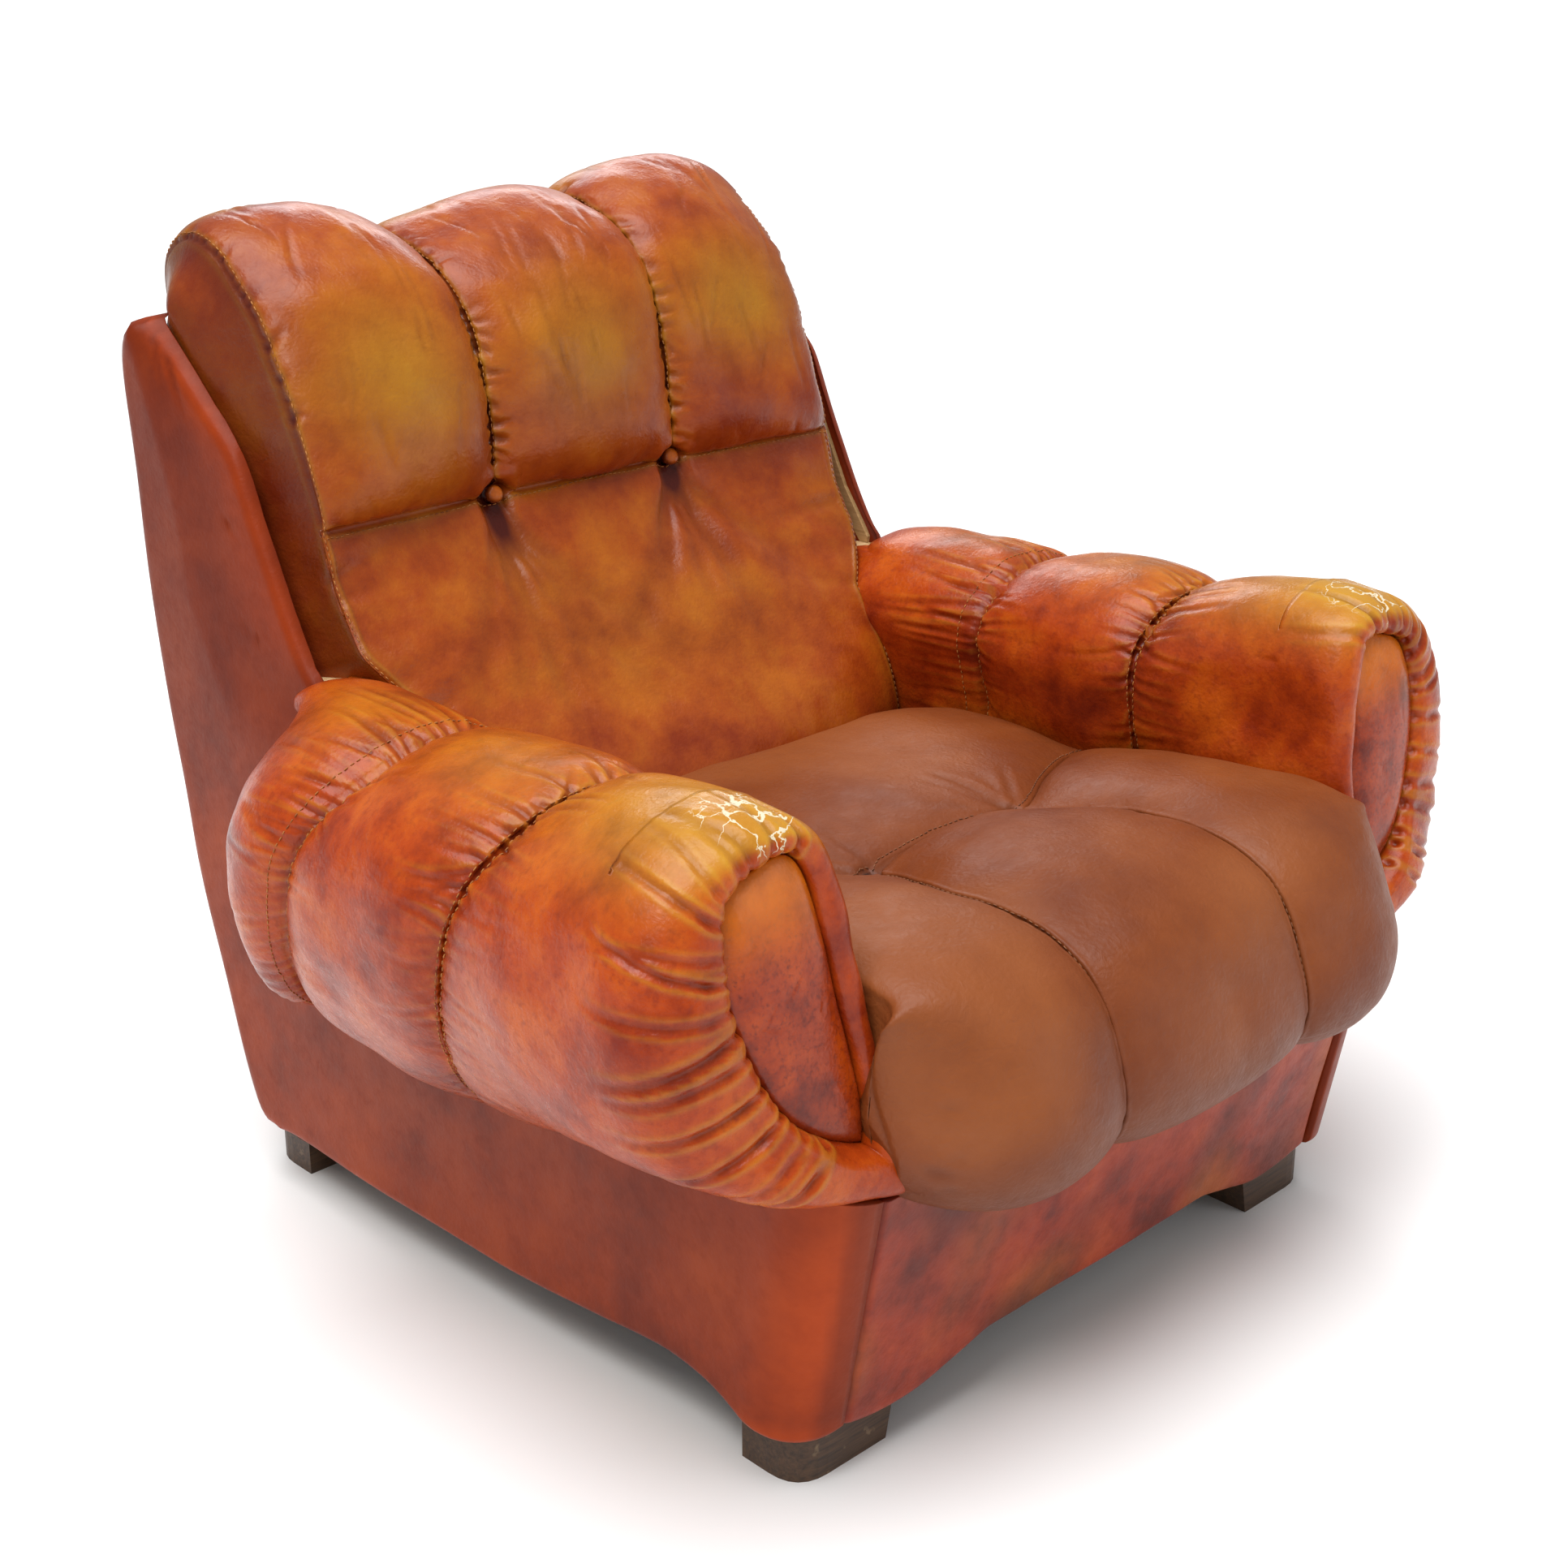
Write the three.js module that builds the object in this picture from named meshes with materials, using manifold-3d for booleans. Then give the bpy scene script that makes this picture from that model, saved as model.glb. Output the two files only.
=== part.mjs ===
// Worn club chair: a low leather armchair with a channelled head cushion, fat three-lobed
// arms, a loose seat cushion and four wooden block feet.
// Millimetres, +Z up. The chair faces -Y and is symmetrical about the plane X = 0.
// Every outline is written for the side of positive X and mirrored for the other one.

import * as THREE from 'three';
import { mergeVertices } from 'three/addons/utils/BufferGeometryUtils.js';
import Module from 'manifold-3d';

const wasm = await Module();
wasm.setup();

// ---------------------------------------------------------------- driving dimensions

const GAP = 0.4; // air left between pieces that touch
const DATUM_SHIFT = 14.3; // the drawing datum lies this far ahead of the middle of the chair

const FOOT_HEIGHT = 60;
const FOOT_INNER_X = 238;
const FOOT_OUTER_X = 353;
const FOOT_DEPTH = 65;
const FOOT_FRONT_Y = -359;
const FOOT_REAR_Y = 330;
const FOOT_CORNER_RADIUS = 34;
const FOOT_TAPER = 16; // the inner end of a foot slants in by this much towards the floor
const FOOT_SCREW_RADIUS = 4;
const FOOT_SCREW_HEAD_RADIUS = 8;
const FOOT_SCREW_HEAD_HEIGHT = 4;
const FOOT_SCREW_LENGTH = 36; // runs up out of the foot into the wood above it
const FRONT_SCREW_Y = -314;
const REAR_SCREW_Y = 345;

const RAIL_BOTTOM = FOOT_HEIGHT + GAP;
const BASE_RAIL_TOP = 132;
const SEAT_RAIL_BOTTOM = 192;
const SEAT_RAIL_TOP = 262;
const RAIL_THICKNESS = 28;
const POST_INNER_X = 314;
const POST_OUTER_X = 351;
const FRONT_POST_REAR_Y = -300; // straight rear edge of the shaped front posts
const BOARD_THICKNESS = 12;
const POST_BEHIND_APRON = 28; // posts and side boards stay clear of the rounded front corner
const BOARD_BEHIND_APRON = 48;
const COVER_OUTER_X = 382; // flat outer face of the side leather
const COVER_THICKNESS = 16;

const FRONT_SLOPE = 0.18; // the apron leans out and the arm fronts lean back by this
const APRON_FOOT_Y = -378;
const APRON_FOOT_Z = 54;
const APRON_TOP_Z = 264;
const CORNER_TOP_Z = 252;
const APRON_THICKNESS = 14;
const APRON_HALF_WIDTH = 321;
const CORNER_RADIUS = 60; // rounded front corner of the side leather

const ARM_FACE_TOP_Y = -358;
const ARM_FACE_TOP_Z = 556;
const ARM_REAR_Y = 300;
const ARM_SEAMS_Y = [-160, 35]; // the two sewn seams that divide an arm into three lobes
const ARM_SLOT_TOP = 532;
const ARM_RAIL_BOTTOM = 500;
const ARM_RAIL_TOP = 528;
const INSERT_THICKNESS = 18;
const FRONT_BOARD_THICKNESS = 12;

const SEAT_HALF_WIDTH = 284;
const SEAT_NOSE_HALF_WIDTH = 312;
const DECK_THICKNESS = 1.5;
const WEB_WIDTH = 50;
const WEB_THICKNESS = 2.4;

const BACK_HALF_WIDTH = 317;
const LOWER_BACK_HALF_WIDTH = 284;
const BACK_CHANNEL_X = 112; // channels of the head cushion, and the two buttons
const BUTTON_RADIUS = 8.5;
const BUTTON_HEIGHT = 7;
const OUTER_BACK_THICKNESS = 8;
const POST_SETBACK = 12; // the back posts stand this far inside the rear outline

const SIDES = [
  { name: 'left', sign: -1 },
  { name: 'right', sign: 1 },
];

// ---------------------------------------------------------------- materials

function material(color, roughness) {
  return new THREE.MeshStandardMaterial({ color, roughness, metalness: 0 });
}

const cognacLeather = material(0x9a4a1c, 0.4);
const oxbloodLeather = material(0x7a2f1a, 0.45);
const brownLeather = material(0x7e4a2a, 0.6);
const stainedOak = material(0x4a3324, 0.6);
const rawBeech = material(0xc9a273, 0.75);
const plywood = material(0xbf9a68, 0.8);
const rubberWebbing = material(0x5b5148, 0.85);
const blackCloth = material(0x23211f, 0.95);
const canvasCloth = material(0xa8977c, 0.95);
const steel = new THREE.MeshStandardMaterial({ color: 0x9a9a98, roughness: 0.4, metalness: 1 });

// ---------------------------------------------------------------- shape helpers

const chair = new THREE.Group();

function addPiece(name, geometry, pieceMaterial) {
  const mesh = new THREE.Mesh(geometry, pieceMaterial);
  mesh.name = name;
  chair.add(mesh);
}

function outline(points) {
  return new THREE.Shape(points.map(([u, v]) => new THREE.Vector2(u, v)));
}

function smoothOutline(points, divisions) {
  const ring = points.map(([u, v]) => new THREE.Vector3(u, v, 0));
  const curve = new THREE.CatmullRomCurve3(ring, true, 'centripetal');
  return outline(curve.getPoints(divisions).slice(0, -1).map((p) => [p.x, p.y]));
}

function extruded(shape, depth, round) {
  const options = { depth, bevelEnabled: false, curveSegments: 6 };
  if (round) {
    options.bevelEnabled = true;
    options.depth = depth - 2 * round.along;
    options.bevelThickness = round.along;
    options.bevelSize = round.across;
    options.bevelOffset = -round.across;
    options.bevelSegments = round.steps;
  }
  const geometry = new THREE.ExtrudeGeometry(shape, options);
  if (round) geometry.translate(0, 0, round.along);
  return geometry;
}

// An outline in Y and Z, run along X from the smaller to the larger x.
function alongX(shape, xA, xB, round) {
  const start = Math.min(xA, xB);
  const geometry = extruded(shape, Math.abs(xB - xA), round);
  const turn = new THREE.Matrix4().makeBasis(
    new THREE.Vector3(0, 1, 0),
    new THREE.Vector3(0, 0, 1),
    new THREE.Vector3(1, 0, 0),
  );
  return geometry.applyMatrix4(turn).translate(start, 0, 0);
}

// An outline in X and Z, run along Y from front to rear.
function alongY(shape, yFront, yRear, round) {
  const geometry = extruded(shape, yRear - yFront, round);
  return geometry.rotateX(Math.PI / 2).translate(0, yRear, 0);
}

function box(xA, xB, yA, yB, zA, zB) {
  const geometry = new THREE.BoxGeometry(Math.abs(xB - xA), Math.abs(yB - yA), Math.abs(zB - zA));
  return geometry.translate((xA + xB) / 2, (yA + yB) / 2, (zA + zB) / 2);
}

// Leans a shape in Y: y gains slope * (z - zero).
function leaned(geometry, slope, zero) {
  const shear = new THREE.Matrix4().set(1, 0, 0, 0, 0, 1, slope, -slope * zero, 0, 0, 1, 0, 0, 0, 0, 1);
  return geometry.applyMatrix4(shear);
}

function solid(geometry) {
  const bare = geometry.clone();
  bare.deleteAttribute('normal');
  bare.deleteAttribute('uv');
  const merged = mergeVertices(bare, 1e-4);
  return new wasm.Manifold(
    new wasm.Mesh({
      numProp: 3,
      vertProperties: new Float32Array(merged.attributes.position.array),
      triVerts: new Uint32Array(merged.index.array),
    }),
  );
}

function surface(body) {
  const mesh = body.getMesh();
  const geometry = new THREE.BufferGeometry();
  geometry.setAttribute('position', new THREE.BufferAttribute(mesh.vertProperties, 3));
  geometry.setIndex(new THREE.BufferAttribute(mesh.triVerts, 1));
  geometry.computeVertexNormals();
  return geometry;
}

function union(geometries) {
  return geometries.map(solid).reduce((whole, part) => whole.add(part));
}

function mirrored(points, sign) {
  return points.map(([x, other]) => [sign * x, other]);
}

// ---------------------------------------------------------------- shared outlines

const apronFaceY = (z) => APRON_FOOT_Y - FRONT_SLOPE * (z - APRON_FOOT_Z);
const armFaceY = (z) => ARM_FACE_TOP_Y - FRONT_SLOPE * (ARM_FACE_TOP_Z - z);

// Rear outline of the chair seen from the side, from the floor up, as y and z.
const REAR_OUTLINE = [
  [368, 58],
  [400, 116],
  [428, 213],
  [449, 328],
  [477, 470],
  [492, 612],
  [499, 720],
  [498, 794],
];

function rearY(z) {
  const upper = Math.max(1, REAR_OUTLINE.findIndex(([, height]) => height >= z));
  const [yLow, zLow] = REAR_OUTLINE[upper - 1];
  const [yHigh, zHigh] = REAR_OUTLINE[upper];
  return yLow + ((yHigh - yLow) * (z - zLow)) / (zHigh - zLow);
}

// Front edge of the wing, from the arm up, as y and z.
const WING_EDGE = [
  [238, 535],
  [273, 585],
  [315, 668],
  [340, 722],
  [384, 755],
  [407, 780],
  [443, 815],
];
const WING_TOP = [
  [462, 832],
  [484, 825],
];

const edgeBehind = (points, distance) => points.map(([y, z]) => [y + distance, z]);

// ---------------------------------------------------------------- feet

function footShape(sign, outerEdgeY, innerEdgeY) {
  const shape = new THREE.Shape();
  const towardsInner = Math.sign(innerEdgeY - outerEdgeY);
  const outer = sign * FOOT_OUTER_X;
  shape.moveTo(sign * FOOT_INNER_X, outerEdgeY);
  shape.lineTo(sign * FOOT_INNER_X, innerEdgeY);
  shape.lineTo(outer, innerEdgeY);
  shape.lineTo(outer, outerEdgeY + towardsInner * FOOT_CORNER_RADIUS);
  shape.quadraticCurveTo(outer, outerEdgeY, outer - sign * FOOT_CORNER_RADIUS, outerEdgeY);
  return shape;
}

const SCREW_X = (FOOT_INNER_X + FOOT_OUTER_X) / 2;

function screwBore(x, y) {
  const radius = FOOT_SCREW_RADIUS + GAP;
  const length = 2 * (FOOT_HEIGHT + FOOT_SCREW_LENGTH + 1);
  return new THREE.CylinderGeometry(radius, radius, length, 16).rotateX(Math.PI / 2).translate(x, y, 0);
}

// A hardwood block with one rounded outer corner and a slanted inner end, on one screw.
function addFoot(side, end) {
  const { sign } = side;
  const outerEdgeY = end.outerEdgeY;
  const innerEdgeY = end.innerEdgeY;
  const block = extruded(footShape(sign, outerEdgeY, innerEdgeY), FOOT_HEIGHT);
  const slant = alongY(
    outline(
      mirrored(
        [
          [FOOT_INNER_X - 20, -10],
          [FOOT_INNER_X + FOOT_TAPER, -10],
          [FOOT_INNER_X - 1, FOOT_HEIGHT + 10],
          [FOOT_INNER_X - 20, FOOT_HEIGHT + 10],
        ],
        sign,
      ),
    ),
    Math.min(outerEdgeY, innerEdgeY) - 5,
    Math.max(outerEdgeY, innerEdgeY) + 5,
  );
  const screwX = sign * SCREW_X;
  const { screwY } = end;
  const recessTop = FOOT_SCREW_HEAD_HEIGHT + 6;
  const bore = screwBore(screwX, screwY);
  const counterbore = new THREE.CylinderGeometry(
    FOOT_SCREW_HEAD_RADIUS + 1,
    FOOT_SCREW_HEAD_RADIUS + 1,
    2 * recessTop,
    20,
  )
    .rotateX(Math.PI / 2)
    .translate(screwX, screwY, 0);
  const foot = solid(block).subtract(solid(slant)).subtract(solid(bore)).subtract(solid(counterbore));
  addPiece(`foot_${end.name}_${side.name}`, surface(foot), stainedOak);

  const headBottom = recessTop - FOOT_SCREW_HEAD_HEIGHT - GAP;
  const profile = [
    [0, headBottom],
    [FOOT_SCREW_HEAD_RADIUS, headBottom],
    [FOOT_SCREW_HEAD_RADIUS, headBottom + FOOT_SCREW_HEAD_HEIGHT],
    [FOOT_SCREW_RADIUS, headBottom + FOOT_SCREW_HEAD_HEIGHT],
    [FOOT_SCREW_RADIUS, FOOT_HEIGHT + FOOT_SCREW_LENGTH - 6],
    [0, FOOT_HEIGHT + FOOT_SCREW_LENGTH],
  ].map(([radius, z]) => new THREE.Vector2(radius, z));
  const screw = new THREE.LatheGeometry(profile, 12).rotateX(Math.PI / 2).translate(screwX, screwY, 0);
  addPiece(`foot_screw_${end.name}_${side.name}`, screw, steel);
}

const FOOT_ENDS = [
  {
    name: 'front',
    outerEdgeY: FOOT_FRONT_Y,
    innerEdgeY: FOOT_FRONT_Y + FOOT_DEPTH,
    screwY: FRONT_SCREW_Y,
    blockCornerY: -335,
  },
  {
    name: 'rear',
    outerEdgeY: FOOT_REAR_Y + FOOT_DEPTH,
    innerEdgeY: FOOT_REAR_Y,
    screwY: REAR_SCREW_Y,
    blockCornerY: FOOT_REAR_Y - GAP,
  },
];

// Glued block in each corner of the base; the front ones take the foot screws.
function addCornerBlock(side, end) {
  const { sign } = side;
  const inwards = Math.sign(end.innerEdgeY - end.outerEdgeY);
  const cornerY = end.blockCornerY;
  const cornerX = POST_INNER_X - GAP;
  const long = 100;
  const short = 34;
  const shape = outline(
    mirrored(
      [
        [cornerX, cornerY],
        [cornerX - long, cornerY],
        [cornerX - long, cornerY + inwards * short],
        [cornerX - short, cornerY + inwards * long],
        [cornerX, cornerY + inwards * long],
      ],
      sign,
    ),
  );
  const block = extruded(shape, BASE_RAIL_TOP - RAIL_BOTTOM - 6).translate(0, 0, RAIL_BOTTOM);
  const bored = solid(block).subtract(solid(screwBore(sign * SCREW_X, end.screwY)));
  addPiece(`corner_block_${end.name}_${side.name}`, surface(bored), rawBeech);
}

for (const side of SIDES) {
  for (const end of FOOT_ENDS) {
    addFoot(side, end);
    addCornerBlock(side, end);
  }
}

// ---------------------------------------------------------------- wooden frame

const frontRailY = (z) => apronFaceY(z) + APRON_THICKNESS + GAP;
const postFrontY = (z) => apronFaceY(z) + POST_BEHIND_APRON;
const boardFrontY = (z) => apronFaceY(z) + BOARD_BEHIND_APRON;
const armPostFrontY = (z) => armFaceY(z) + INSERT_THICKNESS + FRONT_BOARD_THICKNESS + 3 * GAP;
const backPostRearY = (z) => rearY(z) - POST_SETBACK;
const BACK_POST_WIDTH = 60;

const FRONT_POST_KNEE_Z = 238; // the front posts lean out up to here and lean back above it
const FRONT_POST_WAIST_Z = 262;

const frontPostOutline = [
  [postFrontY(RAIL_BOTTOM), RAIL_BOTTOM],
  [postFrontY(FRONT_POST_KNEE_Z), FRONT_POST_KNEE_Z],
  [armPostFrontY(FRONT_POST_WAIST_Z), FRONT_POST_WAIST_Z],
  [armPostFrontY(ARM_RAIL_BOTTOM), ARM_RAIL_BOTTOM - GAP],
  [FRONT_POST_REAR_Y, ARM_RAIL_BOTTOM - GAP],
  [FRONT_POST_REAR_Y, RAIL_BOTTOM],
];

const BACK_POST_HEIGHTS = [RAIL_BOTTOM, 116, 213, 328, 470, 612, 720, 786];
const backPostOutline = [
  ...BACK_POST_HEIGHTS.map((z) => [backPostRearY(z), z]),
  ...BACK_POST_HEIGHTS.slice()
    .reverse()
    .map((z) => [backPostRearY(z) - BACK_POST_WIDTH, z]),
];

function sideRailOutline(zLow, zHigh) {
  return [
    [FRONT_POST_REAR_Y + GAP, zLow],
    [backPostRearY(zLow) - BACK_POST_WIDTH - GAP, zLow],
    [backPostRearY(zHigh) - BACK_POST_WIDTH - GAP, zHigh],
    [FRONT_POST_REAR_Y + GAP, zHigh],
  ];
}

function crossRail(yAt, zLow, zHigh) {
  const profile = outline([
    [yAt(zLow), zLow],
    [yAt(zLow) + RAIL_THICKNESS, zLow],
    [yAt(zHigh) + RAIL_THICKNESS, zHigh],
    [yAt(zHigh), zHigh],
  ]);
  return alongX(profile, -POST_INNER_X + GAP, POST_INNER_X - GAP);
}

const BOARD_BOTTOM = 84;
const BOARD_WAIST_Z = 300;
const sideBoardOutline = [
  [boardFrontY(BOARD_BOTTOM), BOARD_BOTTOM],
  [backPostRearY(BOARD_BOTTOM), BOARD_BOTTOM],
  ...REAR_OUTLINE.slice(1).map(([y, z]) => [y - POST_SETBACK, z]),
  [WING_TOP[0][0], WING_TOP[0][1] - 14],
  ...edgeBehind(WING_EDGE, 14).reverse(),
  [WING_EDGE[0][0] + 14, ARM_RAIL_TOP],
  [armPostFrontY(ARM_RAIL_TOP), ARM_RAIL_TOP],
  [armPostFrontY(BOARD_WAIST_Z), BOARD_WAIST_Z],
  [boardFrontY(CORNER_TOP_Z), CORNER_TOP_Z],
];

const BOARD_INNER_X = POST_OUTER_X + GAP;
const BOARD_OUTER_X = BOARD_INNER_X + BOARD_THICKNESS;

for (const side of SIDES) {
  const { sign, name } = side;
  const railOuterX = sign * POST_OUTER_X;
  const railInnerX = sign * (POST_OUTER_X - RAIL_THICKNESS);
  addPiece(`front_post_${name}`, alongX(outline(frontPostOutline), sign * POST_INNER_X, railOuterX), rawBeech);
  addPiece(`back_post_${name}`, alongX(outline(backPostOutline), sign * POST_INNER_X, railOuterX), rawBeech);
  const baseRail = outline(sideRailOutline(RAIL_BOTTOM, BASE_RAIL_TOP));
  const seatRail = outline(sideRailOutline(SEAT_RAIL_BOTTOM, SEAT_RAIL_TOP));
  addPiece(`side_base_rail_${name}`, alongX(baseRail, railInnerX, railOuterX), rawBeech);
  addPiece(`side_seat_rail_${name}`, alongX(seatRail, railInnerX, railOuterX), rawBeech);
  const armRail = box(
    sign * POST_INNER_X,
    railOuterX,
    armPostFrontY(ARM_RAIL_BOTTOM) + 6,
    backPostRearY(ARM_RAIL_TOP) - BACK_POST_WIDTH - 8,
    ARM_RAIL_BOTTOM,
    ARM_RAIL_TOP,
  );
  addPiece(`arm_top_rail_${name}`, armRail, rawBeech);
  const board = alongX(outline(sideBoardOutline), sign * BOARD_INNER_X, sign * BOARD_OUTER_X);
  addPiece(`side_board_${name}`, board, plywood);
}

const BACK_TOP_RAIL_BOTTOM = 730;
const BACK_TOP_RAIL_TOP = 784;
const REAR_SEAT_RAIL_Y = 206;
const TACK_RAIL_Y = 262;
const TACK_RAIL_BOTTOM = 284;
const TACK_RAIL_TOP = 344;

addPiece('front_base_rail', crossRail(frontRailY, RAIL_BOTTOM, BASE_RAIL_TOP), rawBeech);
addPiece('front_seat_rail', crossRail(frontRailY, SEAT_RAIL_BOTTOM, SEAT_RAIL_TOP), rawBeech);
const backRailY = (z) => backPostRearY(z) - RAIL_THICKNESS;
let backBaseRail = solid(crossRail(() => FOOT_REAR_Y + GAP, RAIL_BOTTOM, BASE_RAIL_TOP));
for (const { sign } of SIDES) {
  backBaseRail = backBaseRail.subtract(solid(screwBore(sign * SCREW_X, REAR_SCREW_Y)));
}
addPiece('back_base_rail', surface(backBaseRail), rawBeech);
addPiece('back_top_rail', crossRail(backRailY, BACK_TOP_RAIL_BOTTOM, BACK_TOP_RAIL_TOP), rawBeech);

const rearSeatRailHalf = POST_OUTER_X - RAIL_THICKNESS - GAP;
const rearSeatRail = box(
  -rearSeatRailHalf,
  rearSeatRailHalf,
  REAR_SEAT_RAIL_Y,
  REAR_SEAT_RAIL_Y + RAIL_THICKNESS,
  SEAT_RAIL_BOTTOM,
  SEAT_RAIL_TOP,
);
addPiece('rear_seat_rail', rearSeatRail, rawBeech);

// The lower back rail runs between the side boards, above the side rails.
const lowerBackRail = box(
  -BOARD_INNER_X + GAP,
  BOARD_INNER_X - GAP,
  TACK_RAIL_Y,
  TACK_RAIL_Y + RAIL_THICKNESS,
  TACK_RAIL_BOTTOM,
  TACK_RAIL_TOP,
);
addPiece('lower_back_rail', lowerBackRail, rawBeech);

// ---------------------------------------------------------------- webbing, deck and dust cover

const WEB_BOTTOM = SEAT_RAIL_TOP + GAP;
const SEAT_WEB_X = [-220, -110, 0, 110, 220];
SEAT_WEB_X.forEach((x, index) => {
  const strap = box(
    x - WEB_WIDTH / 2,
    x + WEB_WIDTH / 2,
    frontRailY(SEAT_RAIL_TOP) + 4,
    REAR_SEAT_RAIL_Y + RAIL_THICKNESS - 4,
    WEB_BOTTOM,
    WEB_BOTTOM + WEB_THICKNESS,
  );
  addPiece(`seat_webbing_${index + 1}`, strap, rubberWebbing);
});

const DECK_BOTTOM = WEB_BOTTOM + WEB_THICKNESS + GAP;
const deck = box(
  -SEAT_HALF_WIDTH - 20,
  SEAT_HALF_WIDTH + 20,
  frontRailY(SEAT_RAIL_TOP) + 2,
  REAR_SEAT_RAIL_Y + RAIL_THICKNESS,
  DECK_BOTTOM,
  DECK_BOTTOM + DECK_THICKNESS,
);
addPiece('seat_deck', deck, canvasCloth);

// Vertical straps from the lower back rail up to the top rail, behind the back cushion.
const backWebLow = { y: TACK_RAIL_Y - GAP, z: TACK_RAIL_BOTTOM + 8 };
const backWebHigh = { y: backRailY(BACK_TOP_RAIL_TOP) - GAP - 2, z: BACK_TOP_RAIL_TOP - 6 };
const BACK_WEB_X = [-165, 0, 165];
BACK_WEB_X.forEach((x, index) => {
  const strap = outline([
    [backWebLow.y - WEB_THICKNESS, backWebLow.z],
    [backWebLow.y, backWebLow.z],
    [backWebLow.y, TACK_RAIL_TOP],
    [backWebHigh.y, BACK_TOP_RAIL_BOTTOM],
    [backWebHigh.y, backWebHigh.z],
    [backWebHigh.y - WEB_THICKNESS, backWebHigh.z],
    [backWebHigh.y - WEB_THICKNESS, BACK_TOP_RAIL_BOTTOM],
    [backWebLow.y - WEB_THICKNESS, TACK_RAIL_TOP],
  ]);
  addPiece(`back_webbing_${index + 1}`, alongX(strap, x - WEB_WIDTH / 2, x + WEB_WIDTH / 2), rubberWebbing);
});

// Black cloth stretched under the frame, cut back around the feet.
const DUST_COVER_TOP = RAIL_BOTTOM - GAP;
const dustCover = outline([
  [-(FOOT_INNER_X - 6), FOOT_FRONT_Y + 6],
  [FOOT_INNER_X - 6, FOOT_FRONT_Y + 6],
  [FOOT_INNER_X - 6, FOOT_FRONT_Y + FOOT_DEPTH + 6],
  [POST_OUTER_X - 8, FOOT_FRONT_Y + FOOT_DEPTH + 6],
  [POST_OUTER_X - 8, FOOT_REAR_Y - 6],
  [FOOT_INNER_X - 6, FOOT_REAR_Y - 6],
  [FOOT_INNER_X - 6, FOOT_REAR_Y + 20],
  [-(FOOT_INNER_X - 6), FOOT_REAR_Y + 20],
  [-(FOOT_INNER_X - 6), FOOT_REAR_Y - 6],
  [-(POST_OUTER_X - 8), FOOT_REAR_Y - 6],
  [-(POST_OUTER_X - 8), FOOT_FRONT_Y + FOOT_DEPTH + 6],
  [-(FOOT_INNER_X - 6), FOOT_FRONT_Y + FOOT_DEPTH + 6],
]);
const DUST_COVER_THICKNESS = 1.2;
const dustCoverSheet = extruded(dustCover, DUST_COVER_THICKNESS);
dustCoverSheet.translate(0, 0, DUST_COVER_TOP - DUST_COVER_THICKNESS);
addPiece('dust_cover', dustCoverSheet, blackCloth);

// ---------------------------------------------------------------- leather panels of the base

// Front apron with a shallow arch between the feet.
const apronHalfBottom = [
  [148, 66],
  [188, 59],
  [234, 48],
  [280, 47],
  [APRON_HALF_WIDTH, 54],
];
const apronOutline = [
  ...apronHalfBottom,
  [APRON_HALF_WIDTH, APRON_TOP_Z],
  [-APRON_HALF_WIDTH, APRON_TOP_Z],
  ...mirrored(apronHalfBottom, -1).reverse(),
];
const apronFlat = alongY(outline(apronOutline), APRON_FOOT_Y, APRON_FOOT_Y + APRON_THICKNESS);
addPiece('front_apron', leaned(apronFlat, -FRONT_SLOPE, APRON_FOOT_Z), oxbloodLeather);

// Outer back: a curved padded panel between the side covers.
const OUTER_BACK_HEIGHTS = [62, 116, 213, 328, 470, 612, 720, 790];
const outerBack = outline([
  ...OUTER_BACK_HEIGHTS.map((z) => [rearY(z) - OUTER_BACK_THICKNESS, z]),
  ...OUTER_BACK_HEIGHTS.slice()
    .reverse()
    .map((z) => [rearY(z), z]),
]);
const OUTER_BACK_HALF = BOARD_OUTER_X + GAP;
addPiece('outer_back', alongX(outerBack, -OUTER_BACK_HALF, OUTER_BACK_HALF), cognacLeather);

// Side cover: flat leather from the base up into the wing, turned round the front corner.
const COVER_INNER_X = COVER_OUTER_X - COVER_THICKNESS;
const cornerCentreY = APRON_FOOT_Y + CORNER_RADIUS;
const cornerCentreX = COVER_OUTER_X - CORNER_RADIUS;
const COVER_BOTTOM = [
  [-313, 66],
  [-274, 79],
  [-235, 83],
  [-153, 75],
  [-66, 67],
  [60, 63],
  [345, 60],
];
const coverOutline = [
  ...COVER_BOTTOM,
  ...REAR_OUTLINE,
  ...WING_TOP.slice().reverse(),
  ...WING_EDGE.slice().reverse(),
  [WING_EDGE[0][0], ARM_RAIL_TOP],
  [armPostFrontY(ARM_RAIL_TOP), ARM_RAIL_TOP],
  [armPostFrontY(CORNER_TOP_Z + 50), CORNER_TOP_Z + 50],
  [cornerCentreY - FRONT_SLOPE * (CORNER_TOP_Z - APRON_FOOT_Z), CORNER_TOP_Z],
  [cornerCentreY, APRON_FOOT_Z - 4],
];

function cornerShape(sign) {
  const arc = [];
  const steps = 6;
  for (let i = 0; i <= steps; i += 1) {
    const angle = (i / steps) * (Math.PI / 2);
    arc.push([Math.cos(angle), -Math.sin(angle)]);
  }
  const outer = arc.map(([c, s]) => [cornerCentreX + CORNER_RADIUS * c, cornerCentreY + CORNER_RADIUS * s]);
  const innerRadius = CORNER_RADIUS - COVER_THICKNESS;
  const inner = arc.map(([c, s]) => [cornerCentreX + innerRadius * c, cornerCentreY + innerRadius * s]);
  return outline(mirrored([...outer, ...inner.reverse()], sign));
}

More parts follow.
